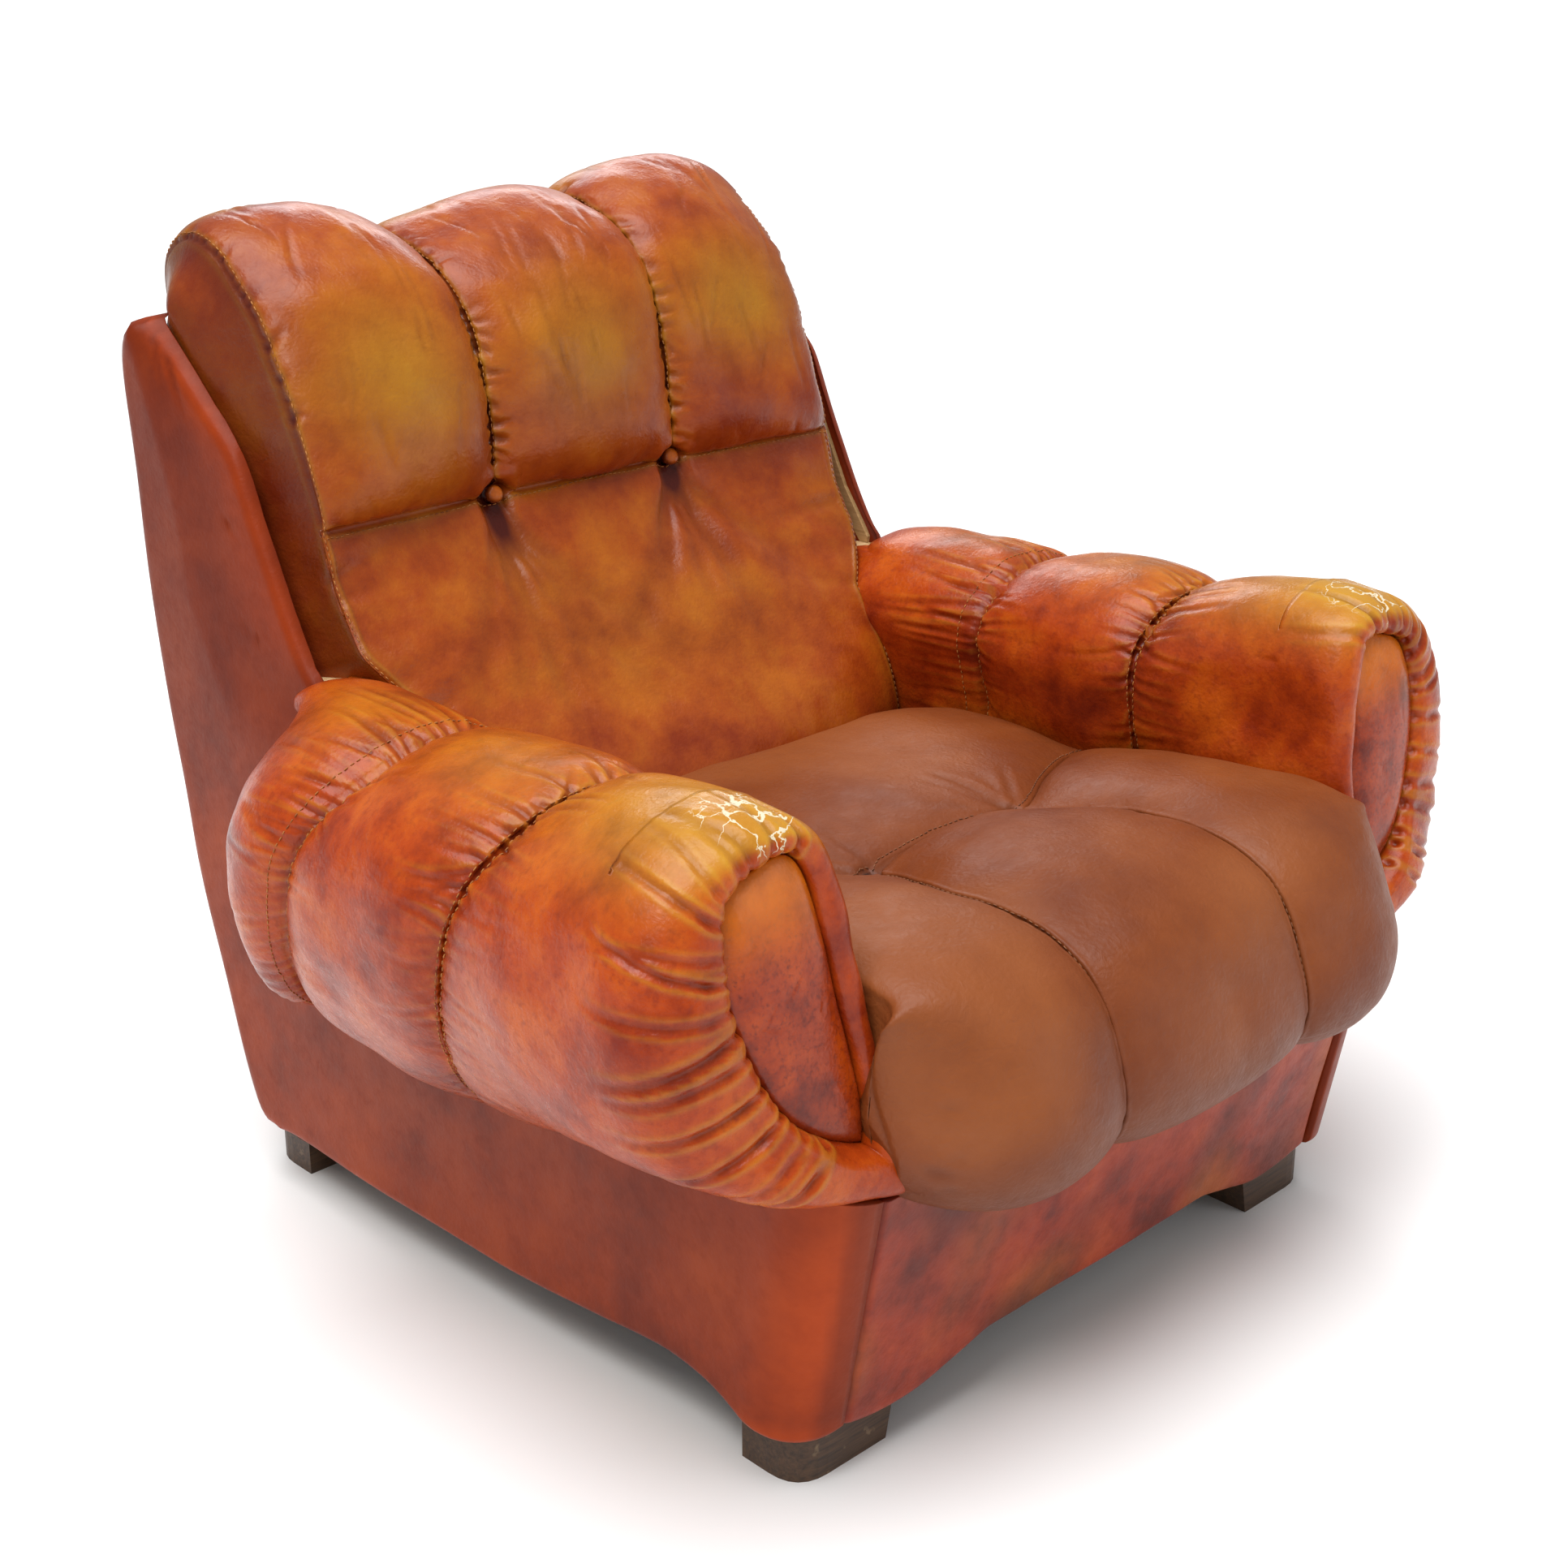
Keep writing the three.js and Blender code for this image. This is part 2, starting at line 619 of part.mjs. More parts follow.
for (const side of SIDES) {
  const { sign, name } = side;
  const slab = alongX(outline(coverOutline), sign * COVER_INNER_X, sign * COVER_OUTER_X);
  const corner = extruded(cornerShape(sign), CORNER_TOP_Z - APRON_FOOT_Z + 4);
  corner.translate(0, 0, APRON_FOOT_Z - 4);
  leaned(corner, -FRONT_SLOPE, APRON_FOOT_Z);
  addPiece(`side_cover_${name}`, surface(union([slab, corner])), cognacLeather);

  // Foam and leather on the inner face of the wing, in front of the back post.
  const wingPadOutline = [
    ...edgeBehind(WING_EDGE.slice(0, -1), 4),
    [backPostRearY(786) - BACK_POST_WIDTH - 2, 780],
    [backPostRearY(720) - BACK_POST_WIDTH - 2, 720],
    [backPostRearY(612) - BACK_POST_WIDTH - 2, 612],
    [backPostRearY(545) - BACK_POST_WIDTH - 2, 545],
  ];
  const wingPad = alongX(outline(wingPadOutline), sign * (BACK_HALF_WIDTH + 6), sign * (BOARD_INNER_X - GAP));
  addPiece(`wing_pad_${name}`, wingPad, cognacLeather);
}

// ---------------------------------------------------------------- arms

// Section of an arm, as x and z: flat inside, fat and round outside.
const ARM_SECTION = [
  [291, 290],
  [289, 390],
  [290, 470],
  [303, 530],
  [338, 570],
  [388, 587],
  [440, 577],
  [485, 543],
  [510, 492],
  [515, 435],
  [503, 372],
  [474, 318],
  [434, 280],
  [392, 256],
  [350, 262],
  [310, 272],
];

// Face of the front insert, as x and z: a D with its straight side towards the seat.
const INSERT_FACE = [
  [320, 330],
  [329, 404],
  [340, 487],
  [350, 539],
  [372, 556],
  [405, 553],
  [430, 541],
  [441, 515],
  [442, 476],
  [434, 439],
  [419, 402],
  [396, 364],
  [366, 338],
  [338, 321],
];

const ARM_SEAM_DIP = 16; // depth of the sewn valleys between the lobes
const ARM_LOBE_ROUND = 46;
const ARM_OVERLAP = 10;

function armPad(sign) {
  const section = smoothOutline(mirrored(ARM_SECTION, sign), 34);
  const stations = [ARM_FACE_TOP_Y - 56, ...ARM_SEAMS_Y, ARM_REAR_Y];
  const round = { along: ARM_LOBE_ROUND, across: ARM_SEAM_DIP, steps: 3 };
  const lobes = [];
  for (let i = 0; i < 3; i += 1) {
    const front = i === 0 ? stations[i] : stations[i] - ARM_OVERLAP;
    const rear = i === 2 ? stations[i + 1] : stations[i + 1] + ARM_OVERLAP;
    lobes.push(alongY(section, front, rear, round));
  }
  const coverX = sign * (COVER_OUTER_X + GAP);
  const slotFront = armPostFrontY(ARM_FACE_TOP_Z) - GAP;
  const slot = leaned(
    box(sign * (POST_INNER_X - GAP), coverX, slotFront, 700, 100, ARM_SLOT_TOP),
    FRONT_SLOPE,
    ARM_FACE_TOP_Z,
  );
  const faceCut = leaned(box(200 * sign, 600 * sign, -700, ARM_FACE_TOP_Y - 5, 100, 700), FRONT_SLOPE, ARM_FACE_TOP_Z);
  const insertDepth = INSERT_THICKNESS + FRONT_BOARD_THICKNESS + 2 * GAP;
  const recess = alongY(
    outline(mirrored(INSERT_FACE, sign).map(([x, z]) => grownFromInsertCentre(x, z, sign))),
    ARM_FACE_TOP_Y - 40,
    ARM_FACE_TOP_Y + insertDepth,
  );
  leaned(recess, FRONT_SLOPE, ARM_FACE_TOP_Z);
  const wingRoom = box(sign * 250, coverX, WING_EDGE[0][0] - 2, 600, ARM_SLOT_TOP - 1, 700);
  const railRoom = box(sign * 250, sign * (POST_INNER_X - GAP), TACK_RAIL_Y - 4, 600, 100, 700);
  return union(lobes)
    .subtract(solid(slot))
    .subtract(solid(faceCut))
    .subtract(solid(recess))
    .subtract(solid(wingRoom))
    .subtract(solid(railRoom));
}

const INSERT_CENTRE = [382, 440];
const INSERT_MARGIN = 1.012; // the pocket is this much larger than the insert

function grownFromInsertCentre(x, z, sign) {
  const centreX = sign * INSERT_CENTRE[0];
  return [centreX + (x - centreX) * INSERT_MARGIN, INSERT_CENTRE[1] + (z - INSERT_CENTRE[1]) * INSERT_MARGIN];
}

for (const side of SIDES) {
  const { sign, name } = side;
  addPiece(`arm_pad_${name}`, surface(armPad(sign)), cognacLeather);

  const face = outline(mirrored(INSERT_FACE, sign));
  const cushioned = { along: 5, across: 5, steps: 2 };
  const insert = alongY(face, ARM_FACE_TOP_Y, ARM_FACE_TOP_Y + INSERT_THICKNESS, cushioned);
  addPiece(`arm_front_insert_${name}`, leaned(insert, FRONT_SLOPE, ARM_FACE_TOP_Z), cognacLeather);

  const boardFront = ARM_FACE_TOP_Y + INSERT_THICKNESS + GAP;
  const board = alongY(face, boardFront, boardFront + FRONT_BOARD_THICKNESS);
  addPiece(`arm_front_board_${name}`, leaned(board, FRONT_SLOPE, ARM_FACE_TOP_Z), plywood);
}

// ---------------------------------------------------------------- back cushion and its buttons

// Side view of the head cushion, as y and z, from the sewn seam up and over to the rear.
const HEAD_PROFILE = [
  [300, 650],
  [284, 690],
  [284, 740],
  [296, 790],
  [318, 836],
  [350, 876],
  [396, 906],
  [444, 917],
  [492, 910],
  [524, 886],
  [534, 852],
  [526, 822],
  [500, 804],
  [450, 800],
  [432, 788],
  [404, 740],
  [372, 660],
];

// Side view of the plain lower back, which swells towards the seat.
const LOWER_PROFILE = [
  [302, 662],
  [262, 590],
  [212, 510],
  [160, 440],
  [128, 400],
  [116, 360],
  [124, 320],
  [150, 298],
  [200, 288],
  [248, 290],
  [257, 352],
  [300, 470],
  [352, 610],
  [376, 668],
];

const UPPER_SIDE_PROFILE = [
  [302, 662],
  [276, 610],
  [250, 562],
  [270, 552],
  [330, 552],
  [352, 610],
  [376, 668],
];

const LOBE_ROUND = { along: 42, across: 22, steps: 3 };
const lobeEdges = [-BACK_HALF_WIDTH, -BACK_CHANNEL_X, BACK_CHANNEL_X, BACK_HALF_WIDTH];
const headProfile = smoothOutline(HEAD_PROFILE, 26);
const headLobes = [0, 1, 2].map((i) => {
  const from = i === 0 ? lobeEdges[i] : lobeEdges[i] - 8;
  const to = i === 2 ? lobeEdges[i + 1] : lobeEdges[i + 1] + 8;
  return alongX(headProfile, from, to, LOBE_ROUND);
});
const lowerRound = { along: 16, across: 10, steps: 2 };
const lowerBack = alongX(smoothOutline(LOWER_PROFILE, 26), -LOWER_BACK_HALF_WIDTH, LOWER_BACK_HALF_WIDTH, lowerRound);
const upperSides = alongX(outline(UPPER_SIDE_PROFILE), -BACK_HALF_WIDTH + 6, BACK_HALF_WIDTH - 6, {
  along: 8,
  across: 5,
  steps: 2,
});

const BUTTON_AT = { y: 297, z: 656 };
const BUTTON_TILT = THREE.MathUtils.degToRad(62);

function buttonBody(x, radius, height) {
  const profile = [
    [0, -height],
    [radius * 0.8, -height],
    [radius, -height * 0.4],
    [radius * 0.92, 0],
    [radius * 0.6, height * 0.28],
    [0, height * 0.4],
  ].map(([r, z]) => new THREE.Vector2(r, z));
  return new THREE.LatheGeometry(profile, 16)
    .rotateX(Math.PI / 2)
    .rotateX(BUTTON_TILT)
    .translate(x, BUTTON_AT.y, BUTTON_AT.z);
}

let backCushion = union([...headLobes, lowerBack, upperSides]);
for (const side of SIDES) {
  const x = side.sign * BACK_CHANNEL_X;
  addPiece(`back_button_${side.name}`, buttonBody(x, BUTTON_RADIUS, BUTTON_HEIGHT), cognacLeather);
  const pocket = buttonBody(x, BUTTON_RADIUS + 1, BUTTON_HEIGHT + 1);
  backCushion = backCushion.subtract(solid(pocket));
}
addPiece('back_cushion', surface(backCushion), cognacLeather);

// ---------------------------------------------------------------- seat cushion

const SEAT_BOTTOM = DECK_BOTTOM + DECK_THICKNESS + GAP;

// Side view of the seat cushion, as y and z: thick rolled nose, flat underside.
const SEAT_PROFILE = [
  [106, 300],
  [108, 350],
  [96, 392],
  [40, 410],
  [-60, 414],
  [-180, 418],
  [-270, 438],
  [-350, 447],
  [-420, 438],
  [-470, 405],
  [-498, 350],
  [-505, 310],
  [-492, 276],
];
const seatBody = [...SEAT_PROFILE, [-440, SEAT_BOTTOM], [90, SEAT_BOTTOM]];

// The nose of the cushion swells sideways in front of the arms.
const NOSE_REAR_Y = -424;
const seatNose = [
  [NOSE_REAR_Y, 420],
  [-456, 404],
  [-484, 360],
  [-496, 312],
  [-482, 284],
  [-440, SEAT_BOTTOM + 6],
  [NOSE_REAR_Y, SEAT_BOTTOM + 6],
];
const seatRound = { along: 22, across: 14, steps: 2 };
const seatCushion = union([
  alongX(outline(seatBody), -SEAT_HALF_WIDTH, SEAT_HALF_WIDTH, seatRound),
  alongX(outline(seatNose), -SEAT_NOSE_HALF_WIDTH, SEAT_NOSE_HALF_WIDTH, seatRound),
]);
addPiece('seat_cushion', surface(seatCushion), brownLeather);

// ---------------------------------------------------------------- whole chair

const part = new THREE.Group();
chair.position.y = -DATUM_SHIFT;
part.add(chair);

export default part;
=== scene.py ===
"""Worn leather club chair: the looks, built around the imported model.

The leather pieces are numeric surfaces: each is laid out from a few outline curves, welded
into one closed skin, and then creased, gathered and stitched where the maker sewed it.
"""

import math

import bmesh
import bpy
import numpy as np
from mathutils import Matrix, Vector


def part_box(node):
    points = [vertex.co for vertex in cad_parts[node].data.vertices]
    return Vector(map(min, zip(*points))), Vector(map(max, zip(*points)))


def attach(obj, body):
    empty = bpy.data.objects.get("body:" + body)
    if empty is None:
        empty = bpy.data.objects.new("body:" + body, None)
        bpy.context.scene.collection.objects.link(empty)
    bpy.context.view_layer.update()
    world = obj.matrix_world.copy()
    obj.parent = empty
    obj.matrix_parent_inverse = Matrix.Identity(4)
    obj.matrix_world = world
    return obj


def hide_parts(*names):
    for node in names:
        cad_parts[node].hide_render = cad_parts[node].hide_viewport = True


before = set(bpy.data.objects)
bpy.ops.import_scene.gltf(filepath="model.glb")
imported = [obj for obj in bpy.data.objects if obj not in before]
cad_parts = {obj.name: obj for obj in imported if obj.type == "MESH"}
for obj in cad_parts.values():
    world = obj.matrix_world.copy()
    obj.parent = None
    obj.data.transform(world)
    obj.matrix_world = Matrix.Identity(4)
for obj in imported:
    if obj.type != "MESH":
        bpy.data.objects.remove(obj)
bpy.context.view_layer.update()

# ---------------------------------------------------------------- drawing frame

MM = 0.001
FOOT_FRONT_Y = -359.0  # the front feet start here on the drawing, in mm
SHIFT_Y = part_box("foot_front_left")[0][1] / MM - FOOT_FRONT_Y  # drawing to the frame of the model
SIDES = {"left": -1, "right": 1}
FRONT_SLOPE = 0.18
APRON_FOOT_Y = -378.0
APRON_FOOT_Z = 54.0
SIDE_X = 382.0  # flat outer face of the side leather
CORNER_RADIUS = 60.0
FACE_TOP_Y = -358.0
FACE_TOP_Z = 556.0


def apron_y(z):
    return APRON_FOOT_Y - FRONT_SLOPE * (z - APRON_FOOT_Z)


def arm_face_y(z):
    return FACE_TOP_Y - FRONT_SLOPE * (FACE_TOP_Z - z)


# ---------------------------------------------------------------- curves and fields


def smooth_line(points, count=0, measure=slice(None), at=None):
    """Points spread evenly along a smooth line through the given ones."""
    line = np.asarray(points, float)
    ghost = np.vstack([2 * line[0] - line[1], line, 2 * line[-1] - line[-2]])
    t = np.linspace(0, 1, 24, endpoint=False)[:, None]
    spans = []
    for a, b, c, d in zip(ghost, ghost[1:], ghost[2:], ghost[3:]):
        spans.append(b + 0.5 * t * (c - a + t * (2 * a - 5 * b + 4 * c - d + t * (3 * (b - c) + d - a))))
    dense = np.vstack(spans + [line[-1:]])
    return spaced(dense, np.linspace(0, 1, count) if at is None else at, measure)


def spaced(line, at, measure=slice(None)):
    """Points at the given shares of a line's length."""
    step = np.linalg.norm(np.diff(line[:, measure], axis=0), axis=1)
    along = np.concatenate([[0], np.cumsum(step)])
    along /= along[-1]
    return np.stack([np.interp(at, along, column) for column in line.T], axis=1)


def smooth(value):
    value = np.clip(value, 0, 1)
    return value * value * (3 - 2 * value)


def puff(share):
    """Height of a stuffed lobe across its width, from 0 at share -1 and 1 to 1 in the middle."""
    return (1 - np.clip(np.abs(share), 0, 1) ** 2.4) ** (1 / 1.8)


def lobe_heights(across, edges):
    """Heights of stuffed lobes side by side, each between two neighbouring edges."""
    heights = np.zeros(len(across))
    for low, high in zip(edges, edges[1:]):
        inside = (across >= low) & (across <= high)
        heights[inside] = puff(2 * (across[inside] - low) / (high - low) - 1)
    return heights


def crowded(edges, count, tight=0.6):
    """Shares from 0 to 1 that crowd towards each of the given edges."""
    parts = []
    spans = list(zip(edges, edges[1:]))
    for low, high in spans:
        number = max(4, int(round(count * (high - low))))
        even = np.linspace(0, 1, number, endpoint=False)
        parts.append(low + (high - low) * (even - tight * np.sin(2 * np.pi * even) / (2 * np.pi)))
    return np.concatenate(parts + [[edges[-1]]])


def drift(points, size, seed):
    """Smooth random height between about -1 and 1, with hollows as wide as size in mm."""
    rng = np.random.default_rng(seed)
    total = np.zeros(len(points))
    waves = 14
    for _ in range(waves):
        direction = rng.normal(size=3)
        direction *= rng.uniform(0.6, 1.4) * np.pi / size / np.linalg.norm(direction)
        total += np.sin(points @ direction + rng.uniform(0, 2 * np.pi))
    return total / math.sqrt(waves)


def spot(points, centre, radii):
    """A soft blot that is 1 at its centre and fades out at its radii, in mm."""
    away = (points - np.array(centre)) / np.array(radii)
    return np.exp(-np.sum(away**2, axis=1))


def line_distance(points, line, reach):
    """Distance of each point to a line of points, and the share of its length there."""
    best = np.full(len(points), np.inf)
    share = np.zeros(len(points))
    near = np.flatnonzero(np.all((points > line.min(0) - reach) & (points < line.max(0) + reach), axis=1))
    close = points[near]
    distance = np.full(len(near), np.inf)
    place = np.zeros(len(near))
    spans = len(line) - 1
    for k in range(spans):
        along = line[k + 1] - line[k]
        t = np.clip((close - line[k]) @ along / max(along @ along, 1e-9), 0, 1)
        d = np.linalg.norm(close - line[k] - t[:, None] * along, axis=1)
        closer = d < distance
        distance[closer] = d[closer]
        place[closer] = ((k + t) / spans)[closer]
    best[near] = distance
    share[near] = place
    return best, share


CREASE_BANK = 0.18  # height of the low bank beside a crease, as a share of its depth


def pressed(points, creases):
    """Depth of a set of creases at each point, less the low bank that stands beside each one.

    A crease is (line, half width, depth, both ends fade).
    """
    total = np.zeros(len(points))
    for line, width, depth, both in creases:
        distance, share = line_distance(points, line, 3 * width)
        fade = np.sin(np.pi * share) ** 0.7 if both else 1 - share**1.6
        ditch = np.exp(-((distance / width) ** 2))
        bank = np.exp(-(((distance - 1.9 * width) / (0.7 * width)) ** 2))
        total += depth * np.where(np.isfinite(distance), ditch - CREASE_BANK * bank, 0) * fade
    return total


# ---------------------------------------------------------------- meshes


def grid(rows, wrap=False):
    """Vertices and faces of a grid of points."""
    points = np.asarray(rows, float)
    height, width = points.shape[:2]
    index = np.arange(height * width).reshape(height, width)
    if wrap:
        index = np.hstack([index, index[:, :1]])
    corners = [index[:-1, :-1], index[:-1, 1:], index[1:, 1:], index[1:, :-1]]
    return points.reshape(-1, 3), np.stack(corners, axis=-1).reshape(-1, 4).tolist()


def strip(line_a, line_b):
    """Faces between two lines with different numbers of points."""
    count_a, count_b = len(line_a), len(line_b)
    faces = []
    i = j = 0
    while i < count_a - 1 or j < count_b - 1:
        if j == count_b - 1 or (i < count_a - 1 and (i + 1) * (count_b - 1) <= (j + 1) * (count_a - 1)):
            faces.append((i, i + 1, count_a + j))
            i += 1
        else:
            faces.append((i, count_a + j + 1, count_a + j))
            j += 1
    return np.vstack([line_a, line_b]), faces


def slab(front, back):
    """Two sheets of points of one shape, closed along their four edges."""
    patches = [grid(front), grid(back)]
    for edge in (np.s_[0, :], np.s_[-1, :], np.s_[:, 0], np.s_[:, -1]):
        patches.append(grid(np.stack([front[edge], back[edge]])))
    return patches


def to_model(points):
    return (points + np.array([0, SHIFT_Y, 0])) * MM


def read_points(mesh):
    flat = np.empty(len(mesh.vertices) * 3)
    mesh.vertices.foreach_get("co", flat)
    return flat.reshape(-1, 3) / MM - np.array([0, SHIFT_Y, 0])


def read_normals(mesh):
    flat = np.empty(len(mesh.vertices) * 3)
    mesh.vertex_normals.foreach_get("vector", flat)
    return flat.reshape(-1, 3)


def write_points(mesh, points):
    mesh.vertices.foreach_set("co", to_model(points).ravel())
    mesh.update()


def paint(piece, **fields):
    """Stores a number for each vertex, which the finish reads by name."""
    for name, values in fields.items():
        attribute = piece.data.attributes.new(name, "FLOAT", "POINT")
        attribute.data.foreach_set("value", np.clip(values, 0, 1).astype(np.float32))


def welded(name, patches, finish):
    """One closed mesh from patches whose edges meet."""
    points = []
    faces = []
    first = 0
    for patch_points, patch_faces in patches:
        points.append(patch_points)
        faces.extend([[first + k for k in face] for face in patch_faces])
        first += len(patch_points)
    mesh = bpy.data.meshes.new(name)
    mesh.from_pydata(to_model(np.vstack(points)).tolist(), [], faces)
    work = bmesh.new()
    work.from_mesh(mesh)
    bmesh.ops.remove_doubles(work, verts=work.verts, dist=0.00003)
    bmesh.ops.dissolve_degenerate(work, edges=work.edges, dist=0.00001)
    bmesh.ops.holes_fill(work, edges=[edge for edge in work.edges if edge.is_boundary], sides=6)
    bmesh.ops.recalc_face_normals(work, faces=work.faces)
    for face in work.faces:
        face.smooth = True
    work.to_mesh(mesh)
    work.free()
    piece = bpy.data.objects.new(name, mesh)
    bpy.context.scene.collection.objects.link(piece)
    mesh.materials.append(finish)
    return piece


def declare(piece, replaced=()):
    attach(piece, "root")
    if replaced:
        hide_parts(*replaced)
    return piece


STITCH_LENGTH = 4.2
STITCH_GAP = 2.0
THREAD_RADIUS = 0.55


def stitches(name, lines, finish):
    """A row of sewn thread along each line: short capsules that dip into the leather at their ends."""
    patches = []
    around = np.linspace(0, 2 * np.pi, 5, endpoint=False)
    profile = np.array([[-0.5, 0.2], [-0.34, 1.0], [0.34, 1.0], [0.5, 0.2]])
    for line, normals in lines:
        length = np.sum(np.linalg.norm(np.diff(line, axis=0), axis=1))
        number = int(length / (STITCH_LENGTH + STITCH_GAP))
        shares = (np.arange(number) + 0.5) / number
        joined = np.hstack([line, normals])
        centres = spaced(joined, shares, slice(0, 3))
        ahead = spaced(joined, np.clip(shares + 0.5 / number, 0, 1), slice(0, 3))
        for centre, front in zip(centres, ahead):
            run = front[:3] - centre[:3]
            run /= max(np.linalg.norm(run), 1e-6)
            up = centre[3:] / np.linalg.norm(centre[3:])
            across = np.cross(run, up)
            rings = []
            for along, thick in profile:
                ring_centre = centre[:3] + run * along * STITCH_LENGTH + up * 0.5 * thick
                ring = THREAD_RADIUS * thick * (
                    np.cos(around)[:, None] * across + np.sin(around)[:, None] * up
                )
                rings.append(ring_centre + ring)
            points, faces = grid(np.array(rings), wrap=True)
            faces += [[4, 3, 2, 1, 0], [15, 16, 17, 18, 19]]
            patches.append((points, faces))
    return welded(name, patches, finish)


# ---------------------------------------------------------------- finishes


def colour(code):
    """An sRGB hex colour as linear RGBA."""
    channels = [int(code[k : k + 2], 16) / 255 for k in (1, 3, 5)]
    return tuple(c / 12.92 if c <= 0.04045 else ((c + 0.055) / 1.055) ** 2.4 for c in channels) + (1.0,)


def add(tree, kind, inputs=None, stops=None, **settings):
    """Adds one shader node. Inputs are values or the outputs they are linked from."""
    made = tree.nodes.new("ShaderNode" + kind)
    for name, value in settings.items():
        setattr(made, name, value)
    for socket, value in (inputs or {}).items():
        if isinstance(value, bpy.types.NodeSocket):
            tree.links.new(value, made.inputs[socket])
        else:
            made.inputs[socket].default_value = value
    for index, (place, code) in enumerate(stops or ()):
        ramp = made.color_ramp
        stop = ramp.elements[index] if index < 2 else ramp.elements.new(place)
        stop.position = place
        stop.color = colour(code)
    return made


def per_mm(size):
    """Texture scale whose pattern repeats about every size mm, in coordinates in metres."""
    return 1 / (size * MM)


def new_finish(name):
    finish = bpy.data.materials.new(name)
    finish.use_nodes = True
    tree = finish.node_tree
    tree.nodes.clear()
    return finish, tree, add(tree, "TexCoord").outputs["Object"]


